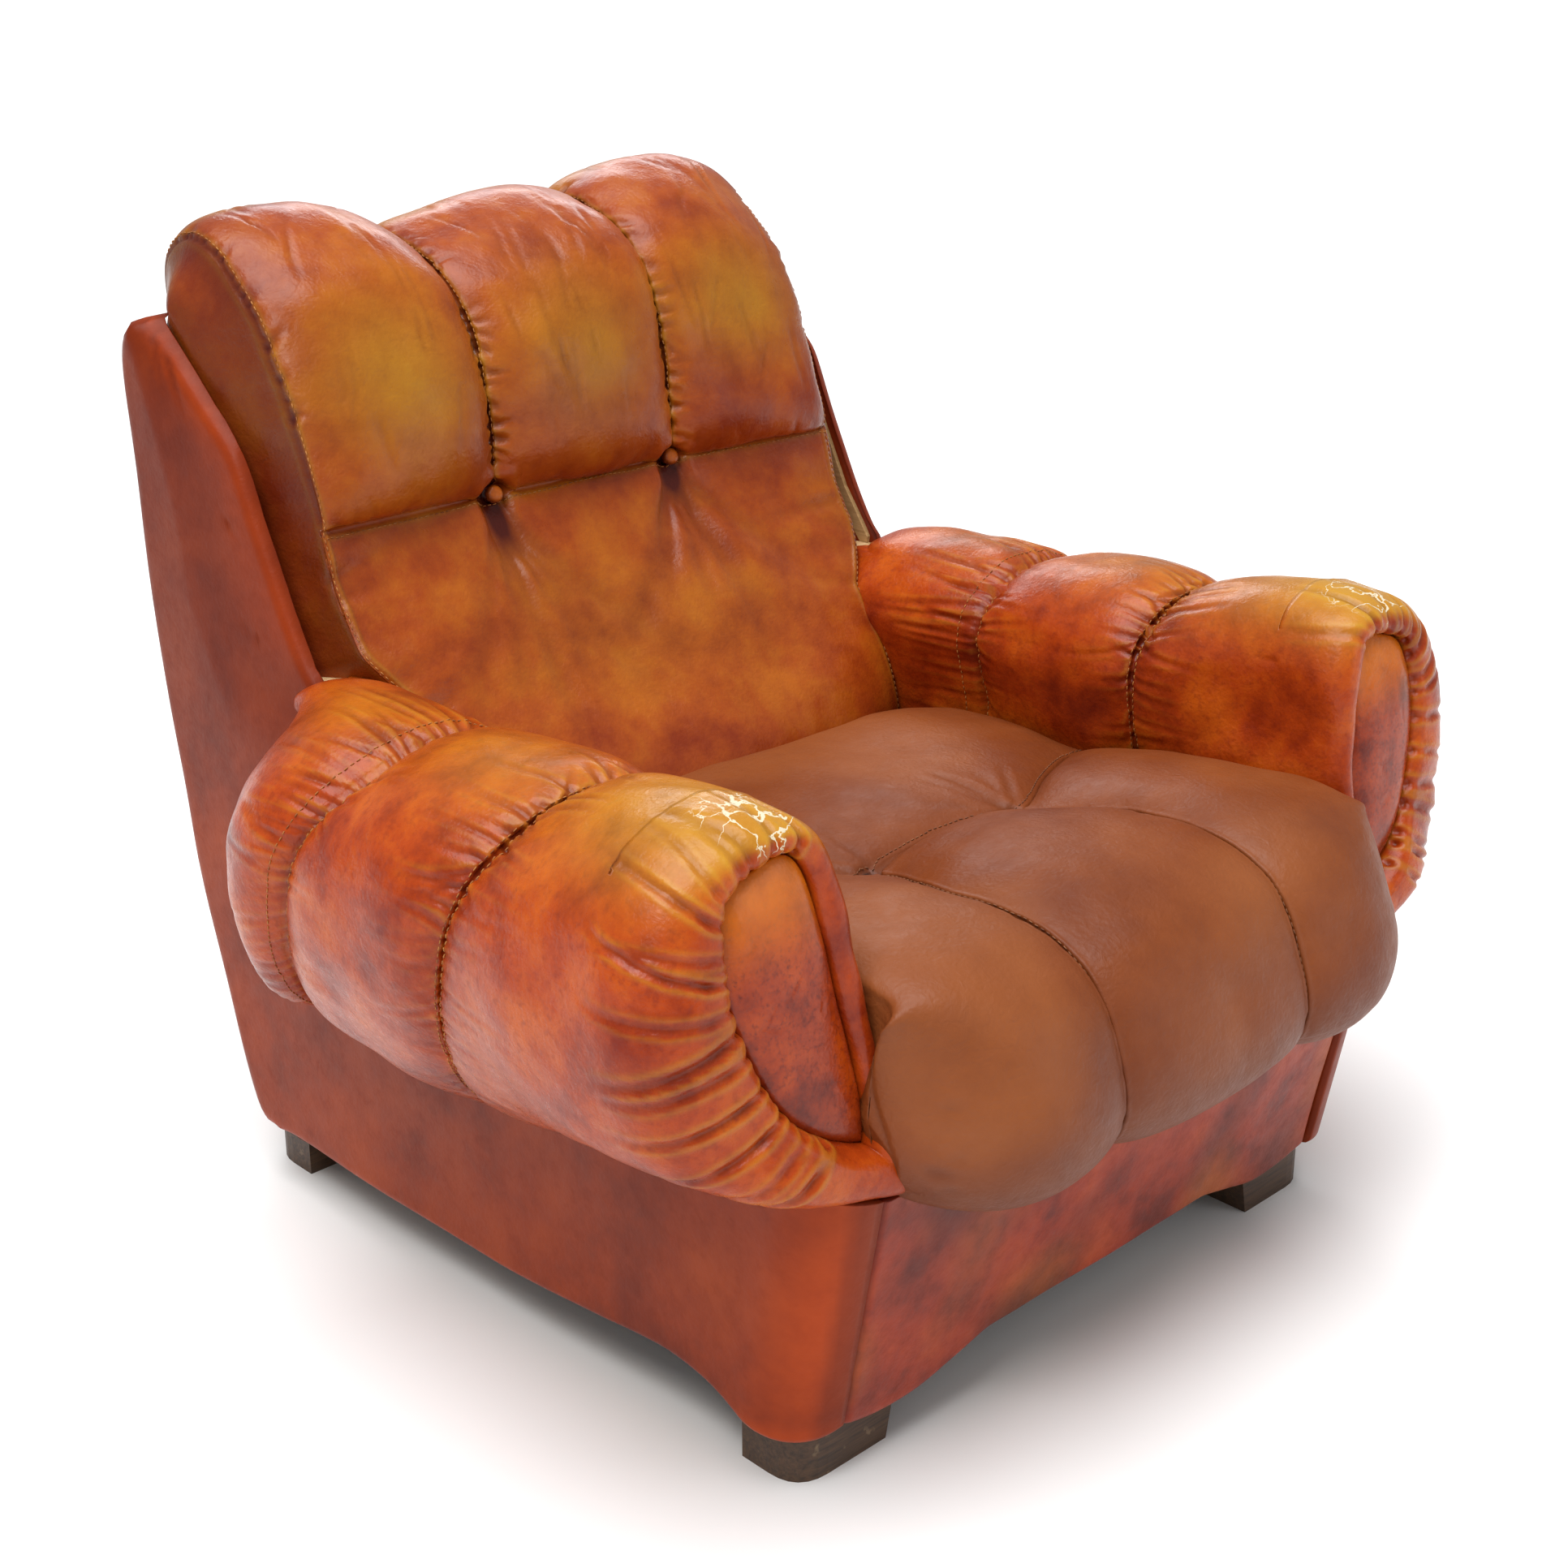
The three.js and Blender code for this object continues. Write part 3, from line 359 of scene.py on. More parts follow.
def hide(
    name, dark, middle, light, gloss, shade_colour="#4a1206", worn="#a5722a", coat=0.1, grain=0.25, pebble=3.2,
    mottle=70,
    speck=0.3, fleck=16, level=0.26,
):
    """Dyed cowhide with a rubbed finish: cloudy colour, painted shade in the creases, pale places, fine
    pebbled grain.

    A painted shade colour darkens the creases, seams and the low, tucked and side-facing places. The pale
    tone is rubbed wear to mustard on the crowns, and painted highlight on lit bevels, crests and pad tops.
    Where the finish has broken the bare hide shows as cream. The pebble is drawn about twice as coarse as on
    real hide.
    """
    finish, tree, place = new_finish(name)
    cloud = add(
        tree, "TexNoise", {"Vector": place, "Scale": per_mm(mottle), "Detail": 5.0, "Roughness": 0.62}
    )
    tone = add(
        tree,
        "ValToRGB",
        {"Fac": cloud.outputs["Fac"]},
        stops=[(0.32, dark), (0.68, light), (0.5, middle)],
    )
    blotch = add(
        tree, "TexNoise", {"Vector": place, "Scale": per_mm(fleck), "Detail": 6.0, "Roughness": 0.7}
    )
    blotch_share = add(
        tree,
        "MapRange",
        {"Value": blotch.outputs["Fac"], "From Min": 0.5, "From Max": 0.72, "To Max": speck},
    )
    blotched = add(
        tree,
        "Mix",
        {"Factor": blotch_share.outputs[0], 6: tone.outputs["Color"], 7: colour(dark)},
        data_type="RGBA",
    )
    # Pale tone: rubbed wear on crowns, and painted highlight on lit bevels, crests and pad tops.
    rubbed = add(tree, "Attribute", attribute_name="worn")
    lightened_share = add(
        tree,
        "MapRange",
        {"Value": cloud.outputs["Fac"], "From Min": 0.25, "From Max": 0.6, "To Min": 0.55, "To Max": 1.0},
    )
    lightened_factor = add(
        tree,
        "Math",
        {0: rubbed.outputs["Fac"], 1: lightened_share.outputs[0]},
        operation="MULTIPLY",
    )
    with_worn = add(
        tree,
        "Mix",
        {"Factor": lightened_factor.outputs[0], 6: blotched.outputs[2], 7: colour(worn)},
        data_type="RGBA",
    )
    # Painted shade: mixes towards the shade colour in creases, seams and low, tucked and side-facing places.
    hollow = add(tree, "Attribute", attribute_name="hollow")
    shaded = add(
        tree,
        "Mix",
        {"Factor": hollow.outputs["Fac"], 6: with_worn.outputs[2], 7: colour(shade_colour)},
        data_type="RGBA",
    )
    broken = add(tree, "Attribute", attribute_name="broken")
    warp = add(tree, "TexNoise", {"Vector": place, "Scale": per_mm(24), "Detail": 4.0})
    bent = add(
        tree,
        "VectorMath",
        {0: warp.outputs["Color"], 1: (0.05, 0.05, 0.05), 2: place},
        operation="MULTIPLY_ADD",
    )
    crackle = add(
        tree,
        "TexVoronoi",
        {"Vector": bent.outputs[0], "Scale": per_mm(38)},
        feature="DISTANCE_TO_EDGE",
    )
    crack_width = add(
        tree,
        "Math",
        {0: broken.outputs["Fac"], 1: blotch.outputs["Fac"]},
        operation="MULTIPLY",
    )
    opened = add(tree, "Math", {0: crack_width.outputs[0], 1: 0.08, 2: -0.003}, operation="MULTIPLY_ADD")
    broken_edge = add(
        tree,
        "Math",
        {0: opened.outputs[0], 1: crackle.outputs["Distance"]},
        operation="SUBTRACT",
    )
    shown = add(tree, "MapRange", {"Value": broken.outputs["Fac"], "From Min": 0.15, "From Max": 0.4})
    open_line = add(
        tree,
        "MapRange",
        {"Value": broken_edge.outputs[0], "From Min": 0.0, "From Max": 0.01},
    )
    broken_share = add(tree, "Math", {0: open_line.outputs[0], 1: shown.outputs[0]}, operation="MULTIPLY")
    skin = add(
        tree,
        "Mix",
        {"Factor": broken_share.outputs[0], 6: shaded.outputs[2], 7: colour("#d8ccb0")},
        data_type="RGBA",
    )
    shine = add(
        tree,
        "MapRange",
        {
            "Value": blotch.outputs["Fac"], "From Min": 0.3, "From Max": 0.7, "To Min": gloss - 0.07,
            "To Max": gloss + 0.1
        },
    )
    matt = add(
        tree,
        "Math",
        {0: broken_share.outputs[0], 1: 0.35, 2: shine.outputs[0]},
        operation="MULTIPLY_ADD",
    )
    cells = add(tree, "TexVoronoi", {"Vector": place, "Scale": per_mm(pebble)}, feature="SMOOTH_F1")
    wrinkle = add(
        tree,
        "TexNoise",
        {"Vector": place, "Scale": per_mm(11), "Detail": 5.0, "Roughness": 0.6, "Distortion": 0.8},
    )
    relief = add(
        tree,
        "Math",
        {0: cells.outputs["Distance"], 1: 0.35, 2: wrinkle.outputs["Fac"]},
        operation="MULTIPLY_ADD",
    )
    bump = add(tree, "Bump", {"Height": relief.outputs[0], "Strength": grain, "Distance": 0.0016})
    shader = add(
        tree,
        "BsdfPrincipled",
        {
            "Base Color": skin.outputs[2],
            "Roughness": matt.outputs[0],
            "IOR": 1.5,
            "Specular IOR Level": level,
            "Coat Weight": coat,
            "Coat Roughness": 0.22,
            "Normal": bump.outputs["Normal"],
        },
    )
    add(tree, "OutputMaterial", {"Surface": shader.outputs[0]})
    return finish


def wood(name, dark, light, gloss, along, grain_width=4.0, wear=None):
    """Sawn timber: long streaks of grain along one axis, darker pores, and pale rubbed patches."""
    finish, tree, place = new_finish(name)
    stretch = [per_mm(grain_width)] * 3
    stretch[along] = per_mm(grain_width * 14)
    streaks = add(tree, "Mapping", {"Vector": place, "Scale": stretch})
    grain = add(
        tree,
        "TexNoise",
        {"Vector": streaks.outputs[0], "Scale": 1.0, "Detail": 6.0, "Roughness": 0.65, "Distortion": 0.6},
    )
    tone = add(tree, "ValToRGB", {"Fac": grain.outputs["Fac"]}, stops=[(0.3, dark), (0.7, light)])
    last = tone.outputs["Color"]
    if wear:
        scuffs = add(tree, "TexNoise", {"Vector": place, "Scale": per_mm(14), "Detail": 6.0})
        worn = add(tree, "MapRange", {"Value": scuffs.outputs["Fac"], "From Min": 0.64, "From Max": 0.78})
        last = add(
            tree,
            "Mix",
            {"Factor": worn.outputs[0], 6: last, 7: colour(wear)},
            data_type="RGBA",
        ).outputs[2]
    bump = add(tree, "Bump", {"Height": grain.outputs["Fac"], "Strength": 0.3, "Distance": 0.0008})
    shader = add(
        tree,
        "BsdfPrincipled",
        {"Base Color": last, "Roughness": gloss, "IOR": 1.5, "Normal": bump.outputs["Normal"]},
    )
    add(tree, "OutputMaterial", {"Surface": shader.outputs[0]})
    return finish


WAVE_BANDS = 20  # the wave texture packs this many bands into one unit


def cloth(name, dark, light, thread):
    """Plain woven cloth or webbing: two sets of threads crossing, dull and slightly dusty."""
    finish, tree, place = new_finish(name)
    warp = add(
        tree,
        "TexWave",
        {"Vector": place, "Scale": per_mm(thread) / WAVE_BANDS, "Distortion": 0.4},
        bands_direction="X",
    )
    weft = add(
        tree,
        "TexWave",
        {"Vector": place, "Scale": per_mm(thread) / WAVE_BANDS, "Distortion": 0.4},
        bands_direction="Y",
    )
    weave = add(tree, "Math", {0: warp.outputs["Fac"], 1: weft.outputs["Fac"]}, operation="MULTIPLY")
    tone = add(tree, "ValToRGB", {"Fac": weave.outputs[0]}, stops=[(0.1, dark), (0.8, light)])
    bump = add(tree, "Bump", {"Height": weave.outputs[0], "Strength": 0.5, "Distance": 0.0006})
    shader = add(
        tree,
        "BsdfPrincipled",
        {
            "Base Color": tone.outputs["Color"],
            "Roughness": 0.92,
            "Sheen Weight": 0.2,
            "Normal": bump.outputs["Normal"],
        },
    )
    add(tree, "OutputMaterial", {"Surface": shader.outputs[0]})
    return finish


def zinc_plate(name):
    """Bright zinc on a steel screw, dulled in patches."""
    finish, tree, place = new_finish(name)
    dull = add(tree, "TexNoise", {"Vector": place, "Scale": per_mm(6), "Detail": 4.0})
    shine = add(tree, "MapRange", {"Value": dull.outputs["Fac"], "To Min": 0.25, "To Max": 0.6})
    tone = add(tree, "ValToRGB", {"Fac": dull.outputs["Fac"]}, stops=[(0.3, "#8c8a84"), (0.7, "#c4c3be")])
    shader = add(
        tree,
        "BsdfPrincipled",
        {"Base Color": tone.outputs["Color"], "Roughness": shine.outputs[0], "Metallic": 1.0},
    )
    add(tree, "OutputMaterial", {"Surface": shader.outputs[0]})
    return finish


def cotton_thread(name, dark, light):
    """Waxed sewing thread: a matt twist with dirt in it."""
    finish, tree, place = new_finish(name)
    dirt = add(tree, "TexNoise", {"Vector": place, "Scale": per_mm(20), "Detail": 3.0})
    tone = add(tree, "ValToRGB", {"Fac": dirt.outputs["Fac"]}, stops=[(0.35, dark), (0.65, light)])
    shader = add(tree, "BsdfPrincipled", {"Base Color": tone.outputs["Color"], "Roughness": 0.7})
    add(tree, "OutputMaterial", {"Surface": shader.outputs[0]})
    return finish


ARM_HIDE = hide(
    "rubbed_cognac_hide", "#782008", "#a53c0c", "#bc5410", gloss=0.29, worn="#bd8828", grain=0.45,
    speck=0.6, fleck=8, level=0.22
)
BACK_HIDE = hide("cognac_hide_back", "#842c0a", "#a0440e", "#b05a12", gloss=0.32, worn="#a8761c", grain=0.45)
# Its bright orange pale tone is the painted highlight on the wing bevel, and wear at the front corner and
# hem.
PANEL_HIDE = hide(
    "smooth_cognac_hide", "#6a220a", "#86300c", "#983c10", gloss=0.4, worn="#cf4e14", coat=0.02,
    level=0.14, grain=0.2, mottle=130
)
APRON_HIDE = hide(
    "oxblood_hide", "#6c1c08", "#962e0b", "#a83e10", gloss=0.42, shade_colour="#3a0c04", coat=0.05, grain=0.2,
    mottle=60,
    speck=0.5,
)
# Its bright orange pale tone is the painted highlight on the top of the front pad.
PAD_HIDE = hide(
    "speckled_hide", "#621806", "#963208", "#ac420a", gloss=0.24, worn="#d0700e", coat=0.25, grain=0.3,
    pebble=2.6,
    mottle=40, speck=1.0, fleck=4, level=0.2,
)
SEAT_HIDE = hide(
    "matt_brown_hide", "#6c3214", "#7a3c18", "#86461f", gloss=0.46, shade_colour="#36160a", worn="#94542a",
    coat=0.03, grain=0.6,
    pebble=3.6, mottle=150, speck=0.15,
)
FOOT_OAK = wood("stained_oak", "#2c1d12", "#5c4028", 0.5, along=0, wear="#8d7455")
BEECH = wood("raw_beech", "#b98f60", "#dcb98a", 0.75, along=0)
PLY = wood("birch_plywood", "#a9824f", "#d0aa74", 0.8, along=1, grain_width=3.0)
WEBBING = cloth("rubber_webbing", "#3c342c", "#7a6d5c", thread=2.4)
CANVAS = cloth("deck_canvas", "#8d7d63", "#b9a98c", thread=1.6)
DUST_CLOTH = cloth("black_dust_cloth", "#141312", "#302e2b", thread=1.4)
ZINC = zinc_plate("zinc_plated_steel")
TAN_THREAD = cotton_thread("tan_thread", "#8a4a1e", "#b87a3a")
BROWN_THREAD = cotton_thread("brown_thread", "#6a3a20", "#8f5a36")

# ---------------------------------------------------------------- side leather and wings

REAR_EDGE = [
    (348, 54), (368, 57), (386, 86), (415, 165), (441, 261), (460, 375), (477, 470), (492, 612),
    (499, 720)
]
REAR_EDGE += [(500, 780), (495, 809), (484, 825), (466, 834)]
SIDE_HEM = [(-412, 54), (-385, 50), (-352, 52), (-325, 59), (-300, 71), (-274, 79), (-235, 83), (-195, 80)]
SIDE_HEM += [(-153, 75), (-110, 71), (-66, 67), (0, 63), (150, 61), (300, 60), (348, 54)]
WING_NOSE = [(225, 500), (238, 535), (252, 551), (273, 585), (294, 626), (315, 668), (340, 722), (358, 742)]
WING_NOSE += [(384, 764), (407, 784), (443, 815), (466, 834)]
WING_RIDGE = [(330, 440), (368, 502), (387, 537), (409, 579), (418, 623), (427, 668), (439, 703), (448, 732)]
WING_RIDGE += [(457, 760), (466, 789), (478, 824)]
HIDDEN_TOP = [(-452, 279), (-420, 286), (-375, 296), (-320, 330), (-150, 430), (225, 500)]


def line_in_plane(points):
    """A line in the side view, as points of three numbers for the distance tools."""
    return np.array([(0, y, z) for y, z in points], float)


def side_sheets(count_along, count_up):
    """Outer and inner skin of one side, for the right-hand side of the chair."""
    s = np.linspace(0, 1, count_along)
    hidden_share = 0.56
    top_front = smooth_line(HIDDEN_TOP, at=np.clip(s / hidden_share, 0, 1))
    top_rear = smooth_line(WING_NOSE, at=np.clip((s - hidden_share) / (1 - hidden_share), 0, 1))
    top = np.where((s < hidden_share)[:, None], top_front, top_rear)
    hem = smooth_line(SIDE_HEM, at=s * 0.93 + 0.07 * s**3)
    t = crowded([0, 1], count_up, 0.5)
    front = np.stack([np.linspace(hem[0, k], top[0, k], 2) for k in range(2)], axis=1)
    front = spaced(front, t)
    rear = smooth_line(REAR_EDGE, at=t)
    ss, tt = s[:, None, None], t[None, :, None]
    flat = (1 - tt) * hem[:, None] + tt * top[:, None] + (1 - ss) * front[None] + ss * rear[None]
    flat -= (
        (1 - ss) * (1 - tt) * hem[0] + (1 - ss) * tt * top[0] + ss * (1 - tt) * hem[-1]
        + ss * tt * top[-1]
    )
    y, z = flat[..., 0], flat[..., 1]
    shadow = np.stack([np.zeros(y.size), y.ravel(), z.ravel()], axis=1)
    reach = 4000.0
    nose_gap = line_distance(shadow, line_in_plane(smooth_line(WING_NOSE, 60)), reach)[0].reshape(y.shape)
    rear_gap = line_distance(shadow, line_in_plane(smooth_line(REAR_EDGE, 60)), reach)[0].reshape(y.shape)
    hem_gap = line_distance(shadow, line_in_plane(smooth_line(SIDE_HEM, 60)), reach)[0].reshape(y.shape)
    ridge = line_distance(shadow, line_in_plane(smooth_line(WING_RIDGE, 60)), reach)[0].reshape(y.shape)
    ridge_y = np.interp(z, [p[1] for p in WING_RIDGE], [p[0] for p in WING_RIDGE])
    ridge_gap = np.where(y < ridge_y, ridge, -ridge)
    ahead = np.clip(ridge_gap, 0, None)
    share = ahead / (ahead + np.clip(nose_gap, 0.1, None))
    on_wing = smooth((z - 440) / 90)
    bevel = 16.0 * np.clip(share, 0, 1)
    nose_radius = 12.0
    lip = (
        nose_radius
        - np.sqrt(np.clip(nose_radius**2 - np.clip(nose_radius - nose_gap, 0, nose_radius) ** 2, 0, None))
    )
    outer = SIDE_X - on_wing * (bevel + lip)
    for gap, radius in ((rear_gap, 13.0), (hem_gap, 7.0)):
        inside = np.clip(radius - gap, 0, radius)
        outer = outer - (radius - np.sqrt(radius**2 - inside**2))
    swell = 3.0 * np.sin(np.pi * np.clip((z - 60) / 260, 0, 1)) * np.clip((y + 300) / 200, 0, 1)
    outer = outer - swell * (1 - on_wing) * 0.6
    rim = np.minimum(np.minimum(nose_gap, rear_gap), hem_gap)
    below = 367.0
    behind = 358.0 - 26.0 * smooth(nose_gap / 70)
    inner = below + (behind - below) * on_wing
    inner = np.where(rim < 0.01, outer - 0.5, np.minimum(inner, outer - 0.5))
    near_rim = smooth(rim / 10)
    middle = np.minimum(outer, 372) - 1.0
    inner = near_rim * inner + (1 - near_rim) * np.minimum(middle, outer - 0.5)
    return y, z, outer, inner


def wrap_corner(x, y, z):
    """Bends the flat side round the rounded front corner of the chair."""
    centre_y = apron_y(z) + CORNER_RADIUS
    centre_x = SIDE_X - CORNER_RADIUS
    angle = np.clip((centre_y - y) / CORNER_RADIUS, 0, np.pi / 2)
    radius = x - centre_x
    turned = angle > 0
    new_x = np.where(turned, centre_x + radius * np.cos(angle), x)
    new_y = np.where(turned, centre_y - radius * np.sin(angle), y)
    return np.stack([new_x, new_y, z], axis=-1)


def mirrored(points, sign):
    return points * np.array([sign, 1, 1])


def build_side(name, sign, seed):
    y, z, outer, inner = side_sheets(150, 90)
    front = mirrored(wrap_corner(outer, y, z), sign)
    back = mirrored(wrap_corner(inner, y, z), sign)
    piece = welded(f"side_leather_{name}", slab(front, back), PANEL_HIDE)
    points = read_points(piece.data)
    normals = read_normals(piece.data)
    x = np.abs(points[:, 0])
    showing = smooth((x - 366) / 10)
    lift = 0.9 * drift(points, 120, seed) * showing
    pleats = []
    rng = np.random.default_rng(seed)
    for start, end in (((470, 832), (452, 778)), ((458, 826), (430, 762)), ((447, 819), (405, 750))):
        line = np.array([(sign * 368, *start), (sign * 372, *end)], float)
        pleats.append((line, 3.2, 2.4, False))
    for _ in range(14):
        middle = np.array([sign * 372, rng.uniform(300, 430), rng.uniform(540, 740)])
        run = np.array([0, rng.uniform(10, 30), rng.uniform(-12, 25)])
        pleats.append((np.array([middle - run, middle + run]), 3.0, rng.uniform(0.4, 1.0), True))
    creases = pressed(points, pleats)
    write_points(piece.data, points + normals * (lift - creases)[:, None])
    hem_wear = smooth((76 - points[:, 2]) / 20) * 0.25
    # Painted highlight: the lit wing bevel takes the pale tone.
    bevel = smooth((points[:, 2] - 520) / 60) * smooth((377 - x) / 12) * smooth((x - 352) / 8)
    corner = spot(points, (sign * 345, -400, 170), (60, 60, 160))
    # Painted shade in the pleats and on the inward faces, and the side darker towards its top; the front
    # corner and the hem are paled as wear.
    paint(
        piece,
        hollow=0.16 * creases + 0.5 * smooth((356 - x) / 14) + 0.4 * smooth((points[:, 2] - 330) / 250),
        worn=0.45 * bevel + 0.4 * corner + hem_wear,
        broken=np.zeros(len(points)),
    )
    return declare(piece, (f"side_cover_{name}", f"wing_pad_{name}"))


# ---------------------------------------------------------------- front apron, outer back, cloths

APRON_HEM = [(0, 66), (100, 66), (148, 66), (188, 59), (234, 47.5), (280, 47.5), (319.6, 55)]
APRON_HALF_TOP = 319.6
APRON_TOP = 276.0
APRON_THICKNESS = 13.0


def bent_edges(share, radius, length):
    """How far a sheet has turned back near its two ends."""
    gap = np.minimum(share, 1 - share) * length
    inside = np.clip(radius - gap, 0, radius)
    return radius - np.sqrt(radius**2 - inside**2)


def build_apron():
    across = crowded([0, 1], 120, 0.4) * 2 - 1
    up = crowded([0, 1], 46, 0.5)
    hem = smooth_line(APRON_HEM, 80)
    x = across[None, :] * APRON_HALF_TOP * np.ones((len(up), 1))
    low = np.interp(np.abs(x), hem[:, 0], hem[:, 1])
    z = low + (APRON_TOP - low) * up[:, None]
    y = apron_y(z)
    turn = bent_edges((across[None, :] + 1) / 2, 7.0, 2 * APRON_HALF_TOP) + bent_edges(
        up[:, None] * 0.5, 6.0, 2 * (APRON_TOP - 60)
    )
    front = np.stack([x, y + turn + 0.4, z], axis=-1)
    back = np.stack([x, np.maximum(y + APRON_THICKNESS, y + turn + 1), z], axis=-1)
    piece = welded("apron_leather", slab(front, back), APRON_HIDE)
    points = read_points(piece.data)
    normals = read_normals(piece.data)
    rng = np.random.default_rng(31)
    creases = []
    for _ in range(26):
        start = np.array([rng.uniform(-300, 300), 0, rng.uniform(90, 250)])
        start[1] = apron_y(start[2])
        run = np.array([rng.uniform(-30, 30), 0, rng.uniform(-14, 14)])
        creases.append((np.array([start - run, start + run]), 3.0, rng.uniform(0.2, 0.6), True))
    depth = pressed(points, creases)
    lift = 1.3 * drift(points, 110, 32) - 1.6 * smooth((40 - np.abs(np.abs(points[:, 0]) - 150)) / 60)
    write_points(piece.data, points + normals * (lift - depth)[:, None])
    # Painted shade along the top of the apron, under the seat nose; the random part is tone that differs in
    # patches.
    paint(
        piece,
        hollow=0.35 * drift(points, 60, 33) + 0.35 * smooth((points[:, 2] - 215) / 50),
        worn=0.18 * drift(points, 80, 34),
        broken=np.zeros(len(points)),
    )
    return declare(piece, ("front_apron",))


OUTER_BACK_HALF = 363.8
OUTER_BACK_TOP = 796.0


def build_outer_back():
    across = crowded([0, 1], 80, 0.4) * 2 - 1
    up = crowded([0, 1], 84, 0.3)
    edge = smooth_line([p for p in REAR_EDGE if 56 < p[1] < 800], 80)
    z = 62 + (OUTER_BACK_TOP - 62) * up[:, None] * np.ones((1, len(across)))
    x = across[None, :] * OUTER_BACK_HALF * np.ones((len(up), 1))
    y = np.interp(z, edge[:, 1], edge[:, 0]) - 1.5
    turn = (
        bent_edges((across[None, :] + 1) / 2, 5.0, 2 * OUTER_BACK_HALF)
        + bent_edges(up[:, None], 5.0, 734)
    )
    crown = 3.0 * (1 - across[None, :] ** 2) * np.sin(np.pi * up[:, None])
    rear = np.stack([x, y - turn - 1 + crown * 0.5, z], axis=-1)
    front = np.stack([x, np.minimum(y - 8, y - turn - 2), z], axis=-1)
    piece = welded("outer_back_leather", slab(rear, front), PANEL_HIDE)
    points = read_points(piece.data)
    normals = read_normals(piece.data)
    rng = np.random.default_rng(41)
    creases = []
    for _ in range(30):
        from_x = rng.uniform(-350, 350)
        top = rng.random() < 0.5
        from_z = OUTER_BACK_TOP - 8 if top else 70
        to_z = from_z + (-1 if top else 1) * rng.uniform(30, 90)
        line = np.array([(from_x, 0, from_z), (from_x + rng.uniform(-12, 12), 0, to_z)], float)
        line[:, 1] = np.interp(line[:, 2], edge[:, 1], edge[:, 0]) - 1.5
        creases.append((line, 4.0, rng.uniform(0.5, 1.3), False))
    depth = pressed(points, creases)
    write_points(piece.data, points + normals * (1.2 * drift(points, 130, 42) - depth)[:, None])
    # Painted shade in the creases, and the panel darker towards the bottom.
    paint(
        piece,
        hollow=0.2 * depth + 0.3 * smooth((150 - points[:, 2]) / 100),
        worn=0.12 * drift(points, 150, 43),
        broken=np.zeros(len(points)),
    )
    return declare(piece, ("outer_back",))


CLOTH_POINTS = 32


def build_cloth(name, node, finish, sag, thickness):
    """A cloth tacked flat along its edges, hanging a little in the middle."""
    low, high = (np.array(corner) / MM - np.array([0, SHIFT_Y, 0]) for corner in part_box(node))
    across = np.linspace(0, 1, CLOTH_POINTS)
    x = (low[0] + (high[0] - low[0]) * across)[:, None] * np.ones((1, CLOTH_POINTS))
    y = (low[1] + (high[1] - low[1]) * across)[None, :] * np.ones((CLOTH_POINTS, 1))
    middle = (high[2] + low[2]) / 2
    hang = np.sin(np.pi * across)[:, None] * np.sin(np.pi * across)[None, :]
    ripple = drift(np.stack([x.ravel(), y.ravel(), 0 * x.ravel()], axis=1), 90, 51).reshape(x.shape)
    z = middle - hang * (sag + 1.2 * ripple)
    sheet = np.stack([x, y, z], axis=-1)
    piece = welded(name, slab(sheet + [0, 0, thickness / 2], sheet - [0, 0, thickness / 2]), finish)
    declare(piece, (node,))
    return piece


# ---------------------------------------------------------------- arms

# Matching points round one arm, from the inner foot over the top to the outer foot, as x and z:
# the sewn valley, the fat front roll, and the edge of the front insert.
ARM_RING = [
    (312, 270, 292, 269, 324, 320),
    (311, 300, 291, 300, 321, 336),
    (310, 335, 293, 335, 322, 362),
    (308, 376, 296, 378, 326, 390),
    (300, 422, 300, 424, 332, 428),
    (289, 484, 306, 482, 339, 480),
    (296, 522, 314, 532, 346, 524),
    (318, 543, 332, 568, 357, 549),
    (350, 558, 360, 586, 374, 557),
    (388, 562, 396, 592, 402, 552),
    (426, 555, 440, 583, 427, 543),
    (462, 536, 480, 561, 437, 527),
    (484, 510, 508, 521, 441, 500),
    (496, 470, 520, 472, 441, 470),
    (497, 425, 521, 430, 434, 438),
    (489, 383, 512, 385, 420, 403),
    (472, 342, 492, 342, 404, 375),
    (440, 294, 448, 316, 385, 352),
    (383, 243, 394, 291, 358, 334),
]
ARM_SILL = [(394, 291, 358, 334), (337, 276, 338, 324), (292, 269, 324, 320)]
CONTACT = [
    (232, 550), (222, 539), (222, 505), (226, 467), (230, 427), (230, 386), (228, 347), (224, 312),
    (216, 280)
]
CONTACT += [(206, 262)]
ARM_FOOT = [(-405, 290), (-300, 262), (-150, 238), (-22, 229), (180, 249), (237, 261)]
SLUMP_Y = (-300.0, -230.0, -70.0, 130.0)  # the arms have sunk towards the back
SLUMP_DROP = (0.0, 8.0, 20.0, 30.0)
SEAM_TOP_Y = (-160.0, 35.0)
SEAM_FOOT_Y = (-46.0, 186.0)
ARM_INNER_REAR_Y = 255.0
ROLL_DEPTH = 58.0
ROLL_PROUD = 10.0
LIP = 12.0
POCKET_DEPTH = 30.4
SLOT_OUTER_X = 383.4
SLOT_INNER_X = 313.0
SLOT_TOP = 531.0
SLOT_STEPS = 3
SECTION_POINTS = 330
REAR_ROWS = 64
MIDDLE_ROWS = 74
FRONT_ROWS = 62
SKIN_ROWS = REAR_ROWS + MIDDLE_ROWS + FRONT_ROWS
SEAM_ROWS = (REAR_ROWS - 1, REAR_ROWS - 1 + MIDDLE_ROWS)


